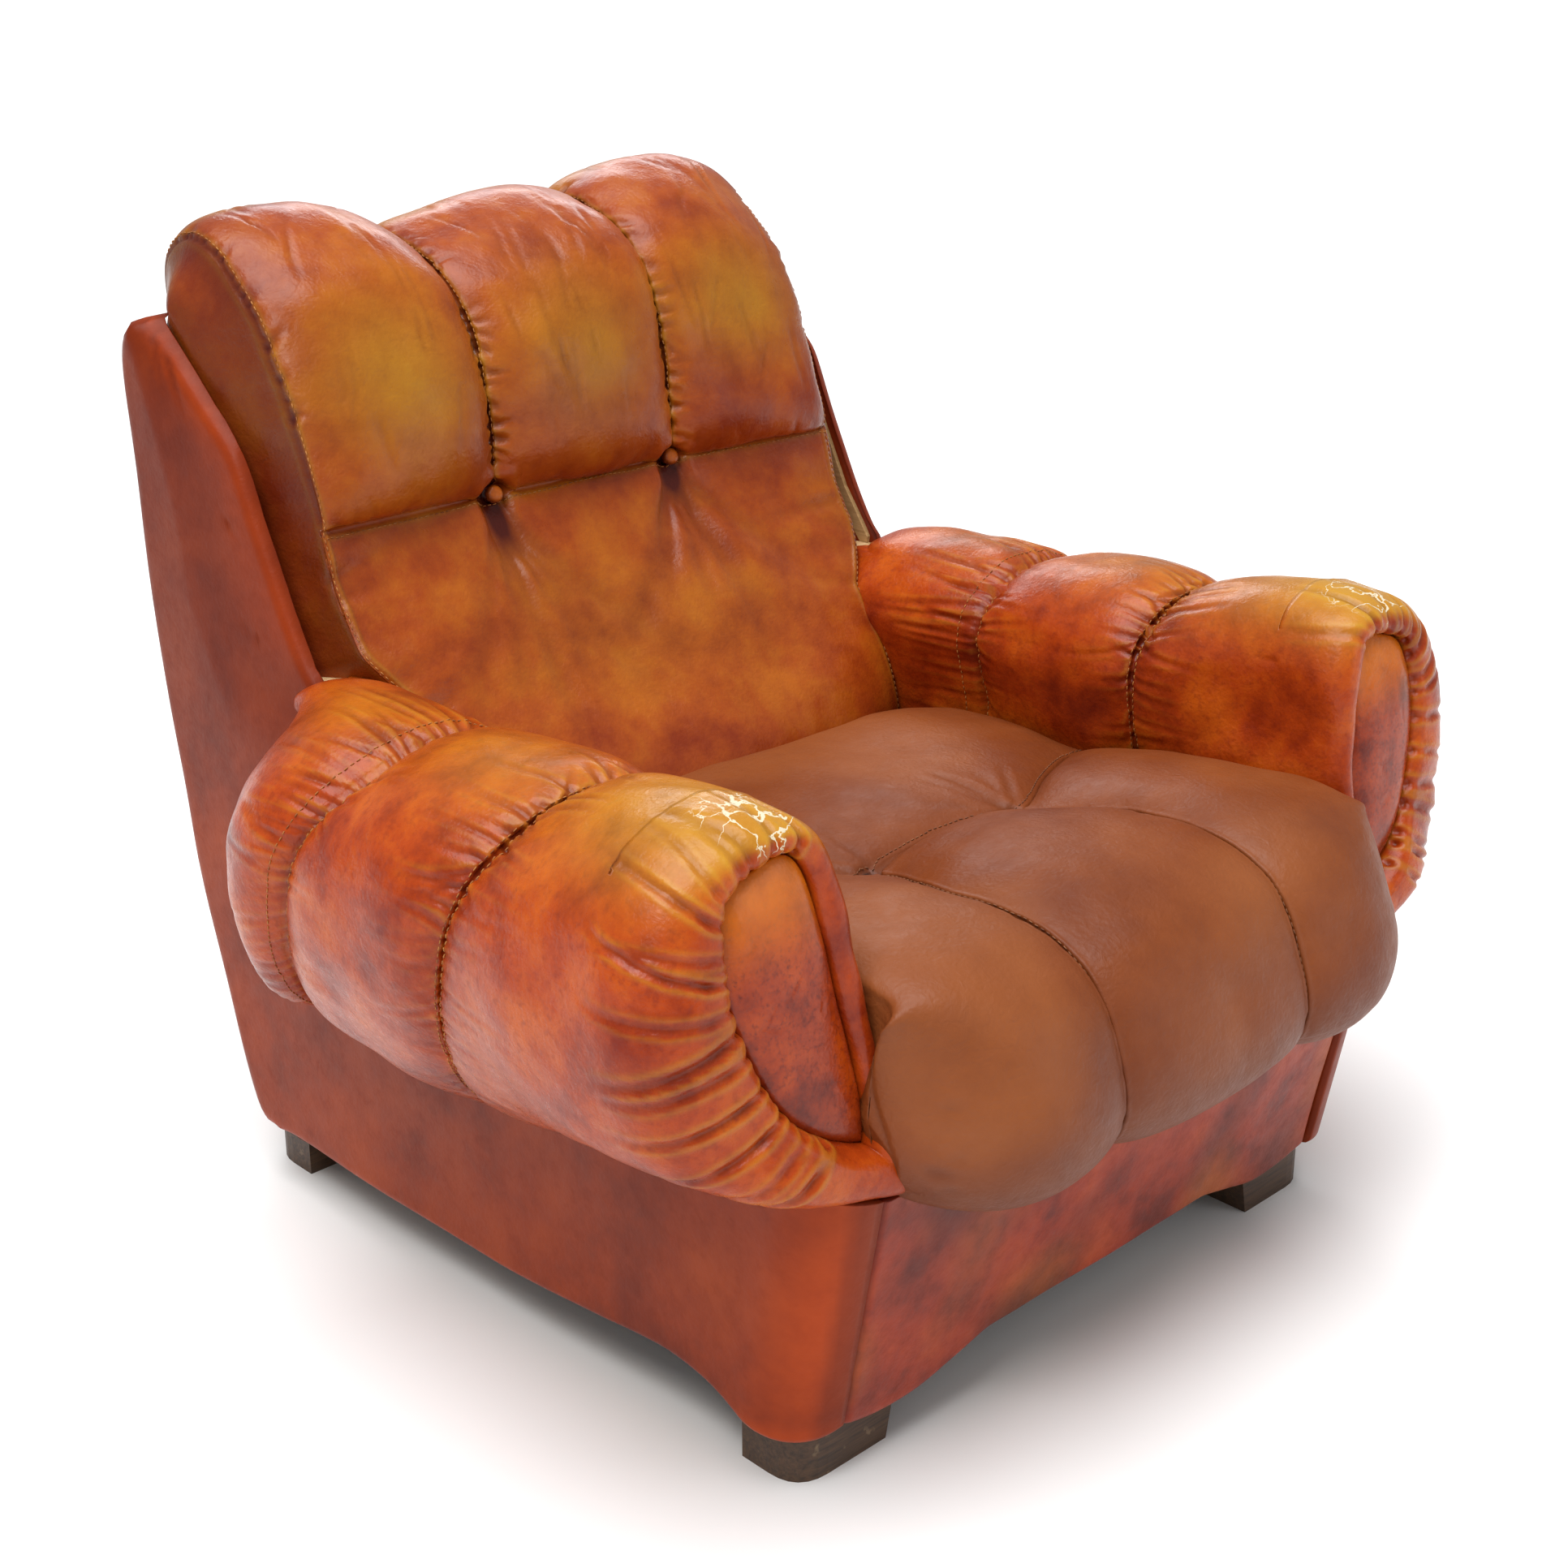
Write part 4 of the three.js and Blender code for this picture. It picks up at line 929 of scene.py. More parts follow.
class Arm:
    """Curves that one arm is laid out from, for the right-hand side of the chair."""

    def __init__(self):
        ring = smooth_line(ARM_RING, SECTION_POINTS, measure=slice(2, 4))
        self.t = np.linspace(0, 1, SECTION_POINTS)
        self.valley = ring[:, 0:2]
        self.front = ring[:, 2:4]
        self.insert = ring[:, 4:6]
        run = np.gradient(self.valley, axis=0)
        run /= np.linalg.norm(run, axis=1)[:, None]
        self.out = np.stack([-run[:, 1], run[:, 0]], axis=1)
        self.swell = np.interp(self.t, [0, 0.05, 0.3, 0.4, 0.9, 1], [2, 10, 13, 25, 24, 3])[:, None]
        self.crest = self.valley + self.out * self.swell
        slant = np.clip((self.t - 0.5) / 0.5, 0, 1) ** 1.5
        self.seams = [top + (foot - top) * slant for top, foot in zip(SEAM_TOP_Y, SEAM_FOOT_Y)]
        touch = 0.47
        contact = smooth_line(CONTACT, at=np.clip((self.t - touch) / (1 - touch), 0, 1))
        self.on_side = smooth((self.t - touch + 0.15) / 0.2)[:, None]
        self.rear_y = ARM_INNER_REAR_Y + (contact[:, 0] - ARM_INNER_REAR_Y) * self.on_side[:, 0]
        landed = np.stack([np.full(SECTION_POINTS, SLOT_OUTER_X), contact[:, 1]], axis=1)
        self.rear = self.valley + (landed - self.valley) * self.on_side

    def foot_drop(self, y):
        """The outer foot of the arm dips towards the middle of the chair."""
        foot = np.interp(y, [p[0] for p in ARM_FOOT], [p[1] for p in ARM_FOOT])
        return (foot - 243.0) * smooth((self.t - 0.82) / 0.18)


def arm_rows(arm):
    """Rows of the arm from rear to front, each of points round the section."""
    rows = []
    seam_front, seam_rear = arm.seams
    for share in np.cos(np.linspace(0, np.pi / 2, REAR_ROWS)):
        y = seam_rear + (arm.rear_y - seam_rear) * share
        close = np.sqrt(np.clip(1 - share**2.6, 0, 1))
        place = arm.rear + (arm.valley - arm.rear) * close + arm.out * arm.swell * puff(2 * share - 1)
        rows.append(np.column_stack([place[:, 0], y, place[:, 1]]))
    for share in crowded([0, 1], MIDDLE_ROWS, 0.75)[1:]:
        y = seam_rear + (seam_front - seam_rear) * share
        place = arm.valley + arm.out * arm.swell * puff(2 * share - 1)
        rows.append(np.column_stack([place[:, 0], y + 0 * arm.t, place[:, 1] + arm.foot_drop(y)]))
    roll_start = arm_face_y(arm.front[:, 1]) + ROLL_DEPTH
    for share in crowded([0, 1], FRONT_ROWS, 0.6)[1:]:
        y = seam_front + (roll_start - seam_front) * share
        rise = puff(1 - share)
        place = arm.valley + arm.out * arm.swell * rise + (arm.front - arm.crest) * smooth(share)
        sink = arm.foot_drop(y) * (1 - smooth(share))
        rows.append(np.column_stack([place[:, 0], y, place[:, 1] + sink]))
    for row in rows:
        row[:, 2] -= np.interp(row[:, 1], SLUMP_Y, SLUMP_DROP) * smooth((row[:, 2] - 420) / 140)
    return rows


def roll_rows(front, insert):
    """The front roll: from the fat section over the edge, into the crease round the insert."""
    rows = []
    reach = front - insert
    length = np.linalg.norm(reach, axis=1)[:, None]
    unit = reach / length
    sagging = smooth((350 - front[:, 1]) / 50)
    proud = ROLL_PROUD + 11.0 * sagging
    for q in np.linspace(0, np.pi / 2, 34):
        radial = LIP + (length - LIP) * (np.cos(q) ** (0.8 - 0.3 * sagging))[:, None]
        place = insert + unit * radial
        depth = ROLL_DEPTH - (ROLL_DEPTH + proud) * np.sin(q) ** (0.9 - 0.25 * sagging)
        rows.append((place, depth))
    for q in np.linspace(0, np.pi / 2, 9)[1:]:
        place = insert + unit * LIP * (1 - np.sin(q))
        rows.append((place, 2.0 - (proud + 2.0) * np.cos(q)))
    rows.append((insert - unit * 0.2, POCKET_DEPTH / 2))
    rows.append((insert - unit * 0.2, POCKET_DEPTH))
    centre = np.array([382.0, 440.0])
    for share in (0.5, 1.0):
        rows.append((insert - unit * 0.2 + (centre - insert + unit * 0.2) * share, POCKET_DEPTH))
    return [
        np.column_stack([place[:, 0], arm_face_y(place[:, 1]) + depth, place[:, 1]]) for place,
        depth in rows
    ]


def slot_line(start, end):
    """The hidden slot that the frame stands in, from the outer foot of a row to its inner foot."""
    corners = np.array(
        [
            start,
            (SLOT_OUTER_X, start[1], start[2] + 2),
            (SLOT_OUTER_X, start[1], SLOT_TOP),
            (SLOT_INNER_X, end[1], SLOT_TOP),
            (SLOT_INNER_X, end[1], end[2] + 2),
            end,
        ]
    )
    inner = [a + (b - a) * k / SLOT_STEPS for a, b in zip(corners, corners[1:]) for k in range(SLOT_STEPS)]
    return np.array(inner[1:])


def arm_skin():
    arm = Arm()
    rows = [np.vstack([row, slot_line(row[-1], row[0])]) for row in arm_rows(arm)]
    sill = smooth_line(ARM_SILL, 5 * SLOT_STEPS + 1)[1:-1]
    ring_front = np.vstack([arm.front, sill[:, 0:2]])
    ring_insert = np.vstack([arm.insert, sill[:, 2:4]])
    rows += roll_rows(ring_front, ring_insert)
    rear = rows[0]
    cap = strip(
        rear[:SECTION_POINTS],
        np.vstack([rear[:1], rear[SECTION_POINTS:][::-1], rear[SECTION_POINTS - 1 :][:1]])
    )
    return rows, [grid(np.array(rows), wrap=True), cap]


def arm_creases(rows, sign, seed):
    """Gathers on both sides of the arm seams."""
    rng = np.random.default_rng(seed)
    creases = []
    skin = np.array([row[:SECTION_POINTS] for row in rows[:SKIN_ROWS]])
    for seam_row, reach in zip(SEAM_ROWS, (11, 12)):
        place = 18
        while place < SECTION_POINTS - 12:
            for way in (-1, 1):
                if rng.random() < 0.2:
                    continue
                steps = int(reach * rng.uniform(0.5, 1.5))
                turn = rng.normal(0, 4)
                line = []
                for k in range(4):
                    row = np.clip(seam_row + way * (1 + steps * k // 3 * 2), 0, len(skin) - 1)
                    column = int(np.clip(place + turn * k / 2, 0, SECTION_POINTS - 1))
                    line.append(skin[row, column])
                strength = 0.35 + 0.65 * math.exp(-(((place / SECTION_POINTS - 0.47) / 0.16) ** 2))
                depth = strength * rng.uniform(2.0, 4.6)
                creases.append((mirrored(np.array(line), sign), rng.uniform(2.4, 3.8), depth, False))
            place += int(rng.uniform(3, 6))
    return creases


def pleat_lines(rows, sign, seed):
    """Folds drawn in by the thread round the front insert, deepest at the crease."""
    rng = np.random.default_rng(seed)
    lip_row = SKIN_ROWS + 33
    creases = []
    for place in np.cumsum(rng.uniform(7, 18, 24)) + 118:
        column = int(place)
        if column > SECTION_POINTS - 8:
            continue
        turn = rng.uniform(-12, 12)
        line = []
        for back in (-6, 2, 12, 22, 31, 37 + rng.integers(0, 14)):
            shift = int(turn * (back + 6) / 36)
            row = rows[lip_row - back]
            line.append(row[int(np.clip(column + shift, 0, SECTION_POINTS - 1))])
        creases.append((mirrored(np.array(line), sign), rng.uniform(2.8, 4.6), rng.uniform(2.2, 5.6), False))
    return creases


def build_arm(name, sign, seed):
    rows, patches = arm_skin()
    patches = [(mirrored(points, sign), faces) for points, faces in patches]
    piece = welded(f"arm_leather_{name}", patches, ARM_HIDE)
    points = read_points(piece.data)
    normals = read_normals(piece.data)
    x, y, z = np.abs(points[:, 0]), points[:, 1], points[:, 2]
    behind_roll = y > arm_face_y(z) + ROLL_DEPTH - 2
    outside = 1 - (
        smooth((SLOT_OUTER_X + 2 - x) / 6)
        * smooth((x - SLOT_INNER_X + 2) / 6)
        * (z < SLOT_TOP + 2)
        * behind_roll
    )
    pulled = pressed(points, arm_creases(rows, sign, seed))
    pleats = pressed(points, pleat_lines(rows, sign, seed + 1))
    seam_rows = [mirrored(rows[k][:SECTION_POINTS], sign) for k in SEAM_ROWS]
    seam = np.zeros(len(points))
    for line in seam_rows:
        distance = line_distance(points, line[::3], 30)[0]
        seam += np.exp(-((distance / 2.6) ** 2))
    slack = 2.2 * drift(points, 75, seed + 2) + 0.7 * drift(points, 26, seed + 3)
    lift = outside * (slack - 0.9 * np.minimum(pulled, 3.5) - np.minimum(pleats, 7.5) - 2.5 * seam)
    write_points(piece.data, points + normals * lift[:, None])
    top = smooth((normals[:, 2] - 0.15) / 0.6)
    front_top = spot(points, (sign * 400, -330, 585), (85, 130, 60))
    middle_top = (
        spot(points, (sign * 400, -70, 590), (90, 90, 50))
        + spot(points, (sign * 400, 120, 590), (80, 70, 50))
    )
    above_insert = spot(points, (sign * (380 if sign < 0 else 400), -338, 584), (38, 38, 26))
    # Painted shade in the gathers, pleats and seams and towards the foot of the arm. The pale tops of the
    # front and middle lobes are rubbed wear; the crests beside the creases are paled as rubbed wear and
    # painted highlight.
    paint(
        piece,
        hollow=0.14 * pulled + 0.12 * pleats + 0.35 * seam + 0.3 * smooth((330 - z) / 90),
        worn=1.1 * front_top * top + 0.5 * middle_top * top + 0.35 * np.clip(-2 * pleats, 0, 1)
            + 0.3 * np.clip(-2 * pulled, 0, 1),
        broken=1.2 * above_insert,
    )
    thread = []
    fixed = read_points(piece.data)
    for row in (SEAM_ROWS[0] - 4, SEAM_ROWS[0] + 4, SEAM_ROWS[1] - 4, SEAM_ROWS[1] + 4):
        base = mirrored(rows[row][24 : SECTION_POINTS - 14 : 2], sign)
        thread.append(on_skin(base, fixed, read_normals(piece.data)))
    seams = stitches(f"arm_stitching_{name}", thread, TAN_THREAD)
    declare(seams)
    return declare(piece, (f"arm_pad_{name}",))


def on_skin(line, points, normals):
    """Moves a line onto the nearest points of a finished skin, and reads the skin's direction there."""
    places = []
    directions = []
    for spot_point in line:
        near = np.flatnonzero(np.abs(points - spot_point).sum(axis=1) < 24)
        if not len(near):
            continue
        away = np.linalg.norm(points[near] - spot_point, axis=1)
        closest = near[np.argsort(away)[:3]]
        places.append(points[closest].mean(axis=0))
        directions.append(normals[closest].mean(axis=0))
    return np.array(places), np.array(directions)


def build_insert(name, sign, seed):
    """The stuffed D-shaped pad in the arm front, with its edge tucked into the crease."""
    ring = smooth_line(ARM_RING, 136, measure=slice(4, 6))[:, 4:6]
    sill = smooth_line(ARM_SILL, 18)[1:-1, 2:4]
    edge = np.vstack([ring, sill])
    centre = np.array([384.0, 452.0])
    rows = []
    for share, depth in ((0.0, 17.6), (0.97, 17.6), (0.985, 12), (0.985, 5)):
        place = centre + (edge - centre) * share
        rows.append(np.column_stack([place[:, 0], arm_face_y(place[:, 1]) + depth, place[:, 1]]))
    for r in np.cos(np.linspace(0, np.pi / 2, 44))[1:]:
        place = centre + (edge - centre) * 0.985 * r
        dome = 5 - 13.0 * (1 - r**3.2) ** (1 / 2.2)
        rows.append(np.column_stack([place[:, 0], arm_face_y(place[:, 1]) + dome, place[:, 1]]))
    piece = welded(f"arm_front_pad_{name}", [grid(mirrored(np.array(rows), sign), wrap=True)], PAD_HIDE)
    points = read_points(piece.data)
    normals = read_normals(piece.data)
    facing = smooth((-normals[:, 1] - 0.2) / 0.5)
    rng = np.random.default_rng(seed)
    creases = []
    for _ in range(12):
        start = np.array([sign * rng.uniform(345, 420), 0, rng.uniform(370, 520)])
        start[1] = arm_face_y(start[2]) - 8
        run = np.array([rng.uniform(-12, 12), 0, rng.uniform(-8, 12)])
        creases.append((np.array([start - run, start + run]), 2.0, rng.uniform(0.3, 0.7), True))
    depth = pressed(points, creases)
    lift = facing * (0.8 * drift(points, 38, seed) - depth)
    write_points(piece.data, points + normals * lift[:, None])
    # Painted highlight: the upper, forward-facing part of the pad takes the pale tone.
    crown = smooth((points[:, 2] - 470) / 80)
    # Painted shade on the tucked edge that turns away from the front, towards the bottom and in the creases.
    paint(
        piece,
        hollow=0.7 * (1 - facing) + 0.3 * smooth((400 - points[:, 2]) / 90) + 0.2 * depth,
        worn=0.85 * crown * facing,
        broken=np.zeros(len(points)),
    )
    return declare(piece, (f"arm_front_insert_{name}",))


# ---------------------------------------------------------------- back cushion

BACK_HALF = 317.0
CHANNEL_X = 112.0
# Front of the back cushion from the seat up, then over the head and down behind it, as y and z.
BACK_MIDDLE = [(92, 352), (96, 372), (104, 396), (130, 425), (166, 460), (201, 500), (233, 540), (261, 580)]
BACK_MIDDLE += [(286, 620), (306, 653)]
BACK_EDGE = [(134, 352), (137, 372), (141, 398), (153, 436), (176, 476), (199, 508), (216, 532), (243, 568)]
BACK_EDGE += [(268, 608), (284, 657)]
HEAD_CHANNEL = [
    (306, 653), (304, 692), (308, 730), (315, 770), (325, 804), (340, 833), (360, 858), (395, 879)
]
HEAD_CHANNEL += [(440, 893), (478, 893), (504, 880), (513, 858), (512, 832), (504, 808), (494, 798)]
HEAD_EDGE = [(284, 657), (298, 698), (314, 740), (330, 778), (346, 806), (363, 835), (392, 862), (421, 886)]
HEAD_EDGE += [(455, 897), (484, 892), (505, 876), (513, 856), (512, 832), (504, 808), (494, 798)]
BACK_HIDDEN = [
    (494, 798), (452, 790), (440, 765), (418, 708), (378, 608), (338, 512), (300, 424), (268, 366)
]
BACK_HIDDEN += [(230, 350), (160, 348), (110, 350)]
BACK_CORE = [(215, 352), (262, 440), (310, 540), (352, 640), (392, 730), (430, 800), (455, 836)]
LOWER_ROWS = 120
HEAD_ROWS = 170
HEAD_SWELL = 28.0
GUSSET_FLARE = 37.0
HEAD_LENGTH = 720.0  # from the seam under the head over the top and down behind
HIDDEN_BEHIND_Y = 440.0
HIDDEN_BELOW_Z = 800.0


def narrowing(z):
    """Half width of the back cushion: it narrows between the arms."""
    return 286 + (BACK_HALF - 286) * smooth((z - 500) / 60)


def head_sag(x, z):
    """How far the head has dropped with wear: most left of the middle, while the right lobe stands up."""
    return smooth((z - 740) / 150) * (
        20 * np.exp(-(((x + 62) / 110) ** 2)) - 7 * np.exp(-(((x - 225) / 90) ** 2))
    )


def back_profiles():
    v_low = crowded([0, 1], LOWER_ROWS, 0.3)
    v_head = crowded([0, 1], HEAD_ROWS, 0.35)[1:]
    middle = np.vstack([smooth_line(BACK_MIDDLE, at=v_low), smooth_line(HEAD_CHANNEL, at=v_head)])
    edge = np.vstack([smooth_line(BACK_EDGE, at=v_low), smooth_line(HEAD_EDGE, at=v_head)])
    rise_low = np.zeros(len(v_low))
    along = v_head * HEAD_LENGTH
    rise_head = np.sqrt(1 - (1 - np.clip(along / 75, 0, 1)) ** 2.2)
    tail = np.sqrt(1 - (1 - np.clip((HEAD_LENGTH - along) / 60, 0, 1)) ** 2)
    return middle, edge, np.concatenate([rise_low, rise_head * tail]), len(v_low) - 1


def back_skin():
    middle, edge, rise, seam_row = back_profiles()
    channel = CHANNEL_X / BACK_HALF
    across = crowded([-1, -channel, channel, 1], 122, 0.72)
    blend_out = smooth((np.abs(across) - channel) / (1 - channel))
    run = np.gradient(middle, axis=0)
    run /= np.linalg.norm(run, axis=1)[:, None]
    out = np.stack([-run[:, 1], run[:, 0]], axis=1)
    lobes = lobe_heights(across, (-1, -channel, channel, 1))
    rows = []
    for k in range(len(middle)):
        on_head = k > seam_row
        mix = blend_out if on_head else np.abs(across) ** 2.2
        base = middle[k] + (edge[k] - middle[k]) * mix[:, None]
        if on_head:
            swell = HEAD_SWELL * rise[k] * lobes
        else:
            height = k / seam_row
            swell = 9.0 * (1 - across**4) * np.sin(np.pi * np.clip(height, 0, 1)) ** 0.6
        place = base + out[k] * swell[:, None]
        x = across * narrowing(place[:, 1])
        place[:, 1] -= head_sag(x, place[:, 1])
        rows.append(np.column_stack([x, place]))
    return np.array(rows), across, seam_row


def gusset(rim, core, sign, flare, columns=26):
    """The side of a cushion: a boxing strip that swells outwards from the piped seam to its middle."""
    along = np.linspace(0, 1, columns)
    share = along[None, :, None]
    sheet = rim[:, None, :] * (1 - share) + core[:, None, :] * share
    sheet[..., 0] += sign * flare * smooth(along * 0.75 + 0.1)[None, :]
    sheet[:, 0, :] = rim
    return sheet


def build_back():
    rows, across, seam_row = back_skin()
    hidden_line = smooth_line(BACK_HIDDEN, 40)
    hidden = []
    for y, z in hidden_line:
        half = narrowing(z) + 31 * smooth((z - 620) / 80)
        hidden.append(np.column_stack([across * half, np.full(len(across), y), np.full(len(across), z)]))
    hidden = np.array(hidden)
    hidden[0] = rows[-1]
    loop = [grid(rows), grid(hidden), grid(np.stack([hidden[-1], rows[0]]))]
    top_row = seam_row + int(0.52 * HEAD_ROWS)
    climb = np.clip(np.arange(len(rows)) / top_row, 0, 1)
    core_line = smooth_line(BACK_CORE, at=climb)
    for column, sign in ((0, -1), (-1, 1)):
        rim = rows[:, column]
        core_x = np.abs(rim[:, 0]) * sign
        core = np.column_stack([core_x, core_line])
        core[top_row:, 0] = core[top_row, 0]
        side = gusset(rim, core, sign, GUSSET_FLARE)
        loop.append(grid(side))
        inner_line = side[:, -1]
        rear_line = hidden[::-1, column]
        loop.append(strip(np.vstack([inner_line[: top_row + 1], rows[-1:, column]]), rear_line))
        loop.append(strip(np.vstack([side[-1, ::-1]]), np.vstack([inner_line[-1:], rows[-1:, column]])))
        loop.append(strip(side[0], np.vstack([rim[:1], rear_line[:1]])))
    piece = welded("back_cushion_leather", loop, BACK_HIDE)
    points = read_points(piece.data)
    normals = read_normals(piece.data)
    x, y, z = points.T
    rng = np.random.default_rng(61)
    channel_columns = [int(np.argmin(np.abs(across + CHANNEL_X / BACK_HALF)))]
    channel_columns.append(int(np.argmin(np.abs(across - CHANNEL_X / BACK_HALF))))
    creases = []
    for column in channel_columns:
        for row in range(seam_row + 6, seam_row + 150, 3):
            if rng.random() < 0.25:
                continue
            for way in (-1, 1):
                reach = rng.uniform(0.5, 1.3) * (1.0 if way > 0 else 0.6)
                tilt = rng.uniform(-6, 2)
                steps = [column + way * int(s * reach) for s in (1, 7, 12, 16)]
                line = [
                    rows[int(np.clip(row + tilt * i / 3, seam_row + 1, len(rows) - 1)), c] for i,
                    c in enumerate(steps)
                ]
                creases.append((np.array(line), rng.uniform(2.6, 4.2), rng.uniform(1.6, 4.0), False))
    for place in range(4, len(across) - 4, 3):
        if rng.random() < 0.35:
            continue
        reach = int(rng.uniform(8, 20))
        line = [
            rows[
                seam_row + 2 + reach * i // 3,
                int(np.clip(place + rng.normal(0, 0.6) * i, 0, len(across) - 1)),
            ]
            for i in range(4)
        ]
        creases.append((np.array(line), rng.uniform(3, 5), rng.uniform(0.5, 1.5), False))
    for column, way in ((0, 1), (len(across) - 1, -1)):
        for row in range(seam_row + 48, seam_row + 122, 3):
            if rng.random() < 0.3:
                continue
            tilt = rng.uniform(-3, 5)
            reach = rng.uniform(0.6, 1.5)
            line = [
                rows[int(row + tilt * i / 3), column + way * int(1 + s * reach)] for i,
                s in enumerate((0, 4, 8, 12))
            ]
            creases.append((np.array(line), rng.uniform(2.6, 4.2), rng.uniform(1.0, 3.0), False))
    gathered = pressed(points, creases)
    folds = []
    for button_x, fan in (
        (-CHANNEL_X, (-150, -60, -20, 40, 95, 150)), (CHANNEL_X, (-160, -90, -30, 25, 60, 130))
    ):
        for sideways in fan:
            drop = rng.uniform(120, 215)
            ends = np.array(
                [
                    [button_x, 0, 648],
                    [button_x + sideways * 0.4, 0, 648 - 0.5 * drop],
                    [button_x + sideways, 0, 648 - drop],
                ]
            )
            front = rows[: seam_row + 1, len(across) // 2]
            ends[:, 1] = np.interp(ends[:, 2], front[:, 2], front[:, 1])
            folds.append((ends, rng.uniform(9, 15), rng.uniform(3.0, 5.5), False))
            ends_side = ends.copy()
            folds.append((ends_side[:2], rng.uniform(4, 6), rng.uniform(1.5, 3.0), False))
    for side in (-1, 1):
        for _ in range(7):
            start = np.array([side * rng.uniform(300, 316), 0, rng.uniform(470, 640)])
            end = start + np.array([-side * rng.uniform(60, 150), 0, rng.uniform(-20, 60)])
            line = np.array([start, end])
            line[:, 1] = np.interp(line[:, 2], rows[: seam_row + 1, 0, 2], rows[: seam_row + 1, 0, 1])
            folds.append((line, rng.uniform(6, 10), rng.uniform(1.0, 2.5), False))
    pulled = pressed(points, folds)
    long_wrinkles = []
    for _ in range(60):
        lobe = rng.choice([-215, 0, 215])
        row = int(rng.uniform(seam_row + 20, seam_row + 120))
        column = int(np.argmin(np.abs(across * BACK_HALF - lobe - rng.uniform(-70, 70))))
        line = []
        lean = rng.uniform(-0.6, 0.9)
        for step in range(4):
            r = int(np.clip(row + step * rng.uniform(5, 11), 0, len(rows) - 1))
            c = int(np.clip(column + step * lean * 4, 0, len(across) - 1))
            line.append(rows[r, c])
        long_wrinkles.append((np.array(line), rng.uniform(2.2, 4.0), rng.uniform(0.8, 2.2), True))
    fine = pressed(points, long_wrinkles)
    seam_lines = (
        [rows[seam_row]] + [rows[seam_row:, c] for c in channel_columns] + [rows[:-4, 0], rows[:-4, -1]]
    )
    seam = np.zeros(len(points))
    banks = np.zeros(len(points))
    for line, depth in zip(seam_lines, (0.6, 0.9, 0.9, 0.6, 0.6)):
        distance = line_distance(points, line[::2], 30)[0]
        seam += depth * np.exp(-((distance / 2.8) ** 2))
        banks = np.maximum(banks, np.exp(-(((distance - 6) / 2.6) ** 2)))
    cord = np.zeros(len(points))
    for line, sign in ((rows[:-4, 0], -1), (rows[:-4, -1], 1)):
        offset = line[::2] - np.array([sign * 6.5, 0, 0])
        distance = line_distance(points, offset, 20)[0]
        cord += np.exp(-((distance / 2.4) ** 2))
    facing = smooth((0.55 - normals[:, 1]) / 0.5)
    slack = 2.6 * drift(points, 95, 62) + 0.8 * drift(points, 30, 63)
    lift = facing * (slack - 0.9 * np.minimum(gathered, 3.5) - np.minimum(pulled, 8) - fine)
    lift = lift - 2.4 * np.minimum(seam, 1.4) + 1.5 * cord
    lift = np.where((z < 356) | ((y > HIDDEN_BEHIND_Y) & (z < HIDDEN_BELOW_Z)), 0, lift)
    write_points(piece.data, points + normals * lift[:, None])
    worn = (
        1.0 * spot(points, (-215, 320, 775), (75, 90, 75))
        + 0.8 * spot(points, (0, 318, 780), (75, 80, 75))
    )
    worn += (
        0.9 * spot(points, (212, 325, 800), (80, 90, 60))
        + 0.25 * spot(points, (0, 210, 520), (190, 110, 80))
    )
    worn += 0.5 * smooth((y - 455) / 30)
    crack = [(-6, 318, 820), (4, 305, 790), (8, 296, 752), (22, 292, 715)]
    cracked = np.exp(-((line_distance(points, smooth_line(crack, 12), 60)[0] / 9) ** 2))
    # Painted shade on the lower front towards the seat, beside the arms and on the side-facing boxing, and
    # in the gathers, folds and seams.
    low = smooth((470 - z) / 110) * facing
    shade_beside_arms = smooth((np.abs(x) - 250) / 60)
    boxing = smooth((np.abs(normals[:, 0]) - 0.75) / 0.15)
    # The head lobes are paled as wear; the bands beside the seams and the crests of the gathers are paled as
    # rubbed wear and painted highlight.
    paint(
        piece,
        hollow=0.12 * gathered + 0.06 * pulled + 0.1 * fine + 0.22 * seam + 0.5 * low + 0.2 * shade_beside_arms
            + 0.5 * boxing,
        worn=worn * smooth((normals[:, 2] + 0.9) / 0.6) + 0.4 * banks + 0.3 * np.clip(-gathered, 0, 1),
        broken=0.62 * cracked,
    )
    fixed = read_points(piece.data)
    fixed_normals = read_normals(piece.data)
    thread = [on_skin(rows[seam_row - 3, 3:-3], fixed, fixed_normals)]
    for c in channel_columns:
        thread.append(on_skin(rows[seam_row + 4 : -60 : 2, c + 2], fixed, fixed_normals))
    for column in (3, -4):
        thread.append(on_skin(rows[12:-40:2, column], fixed, fixed_normals))
    declare(stitches("back_stitching", thread, TAN_THREAD))
    return declare(piece, ("back_cushion",))


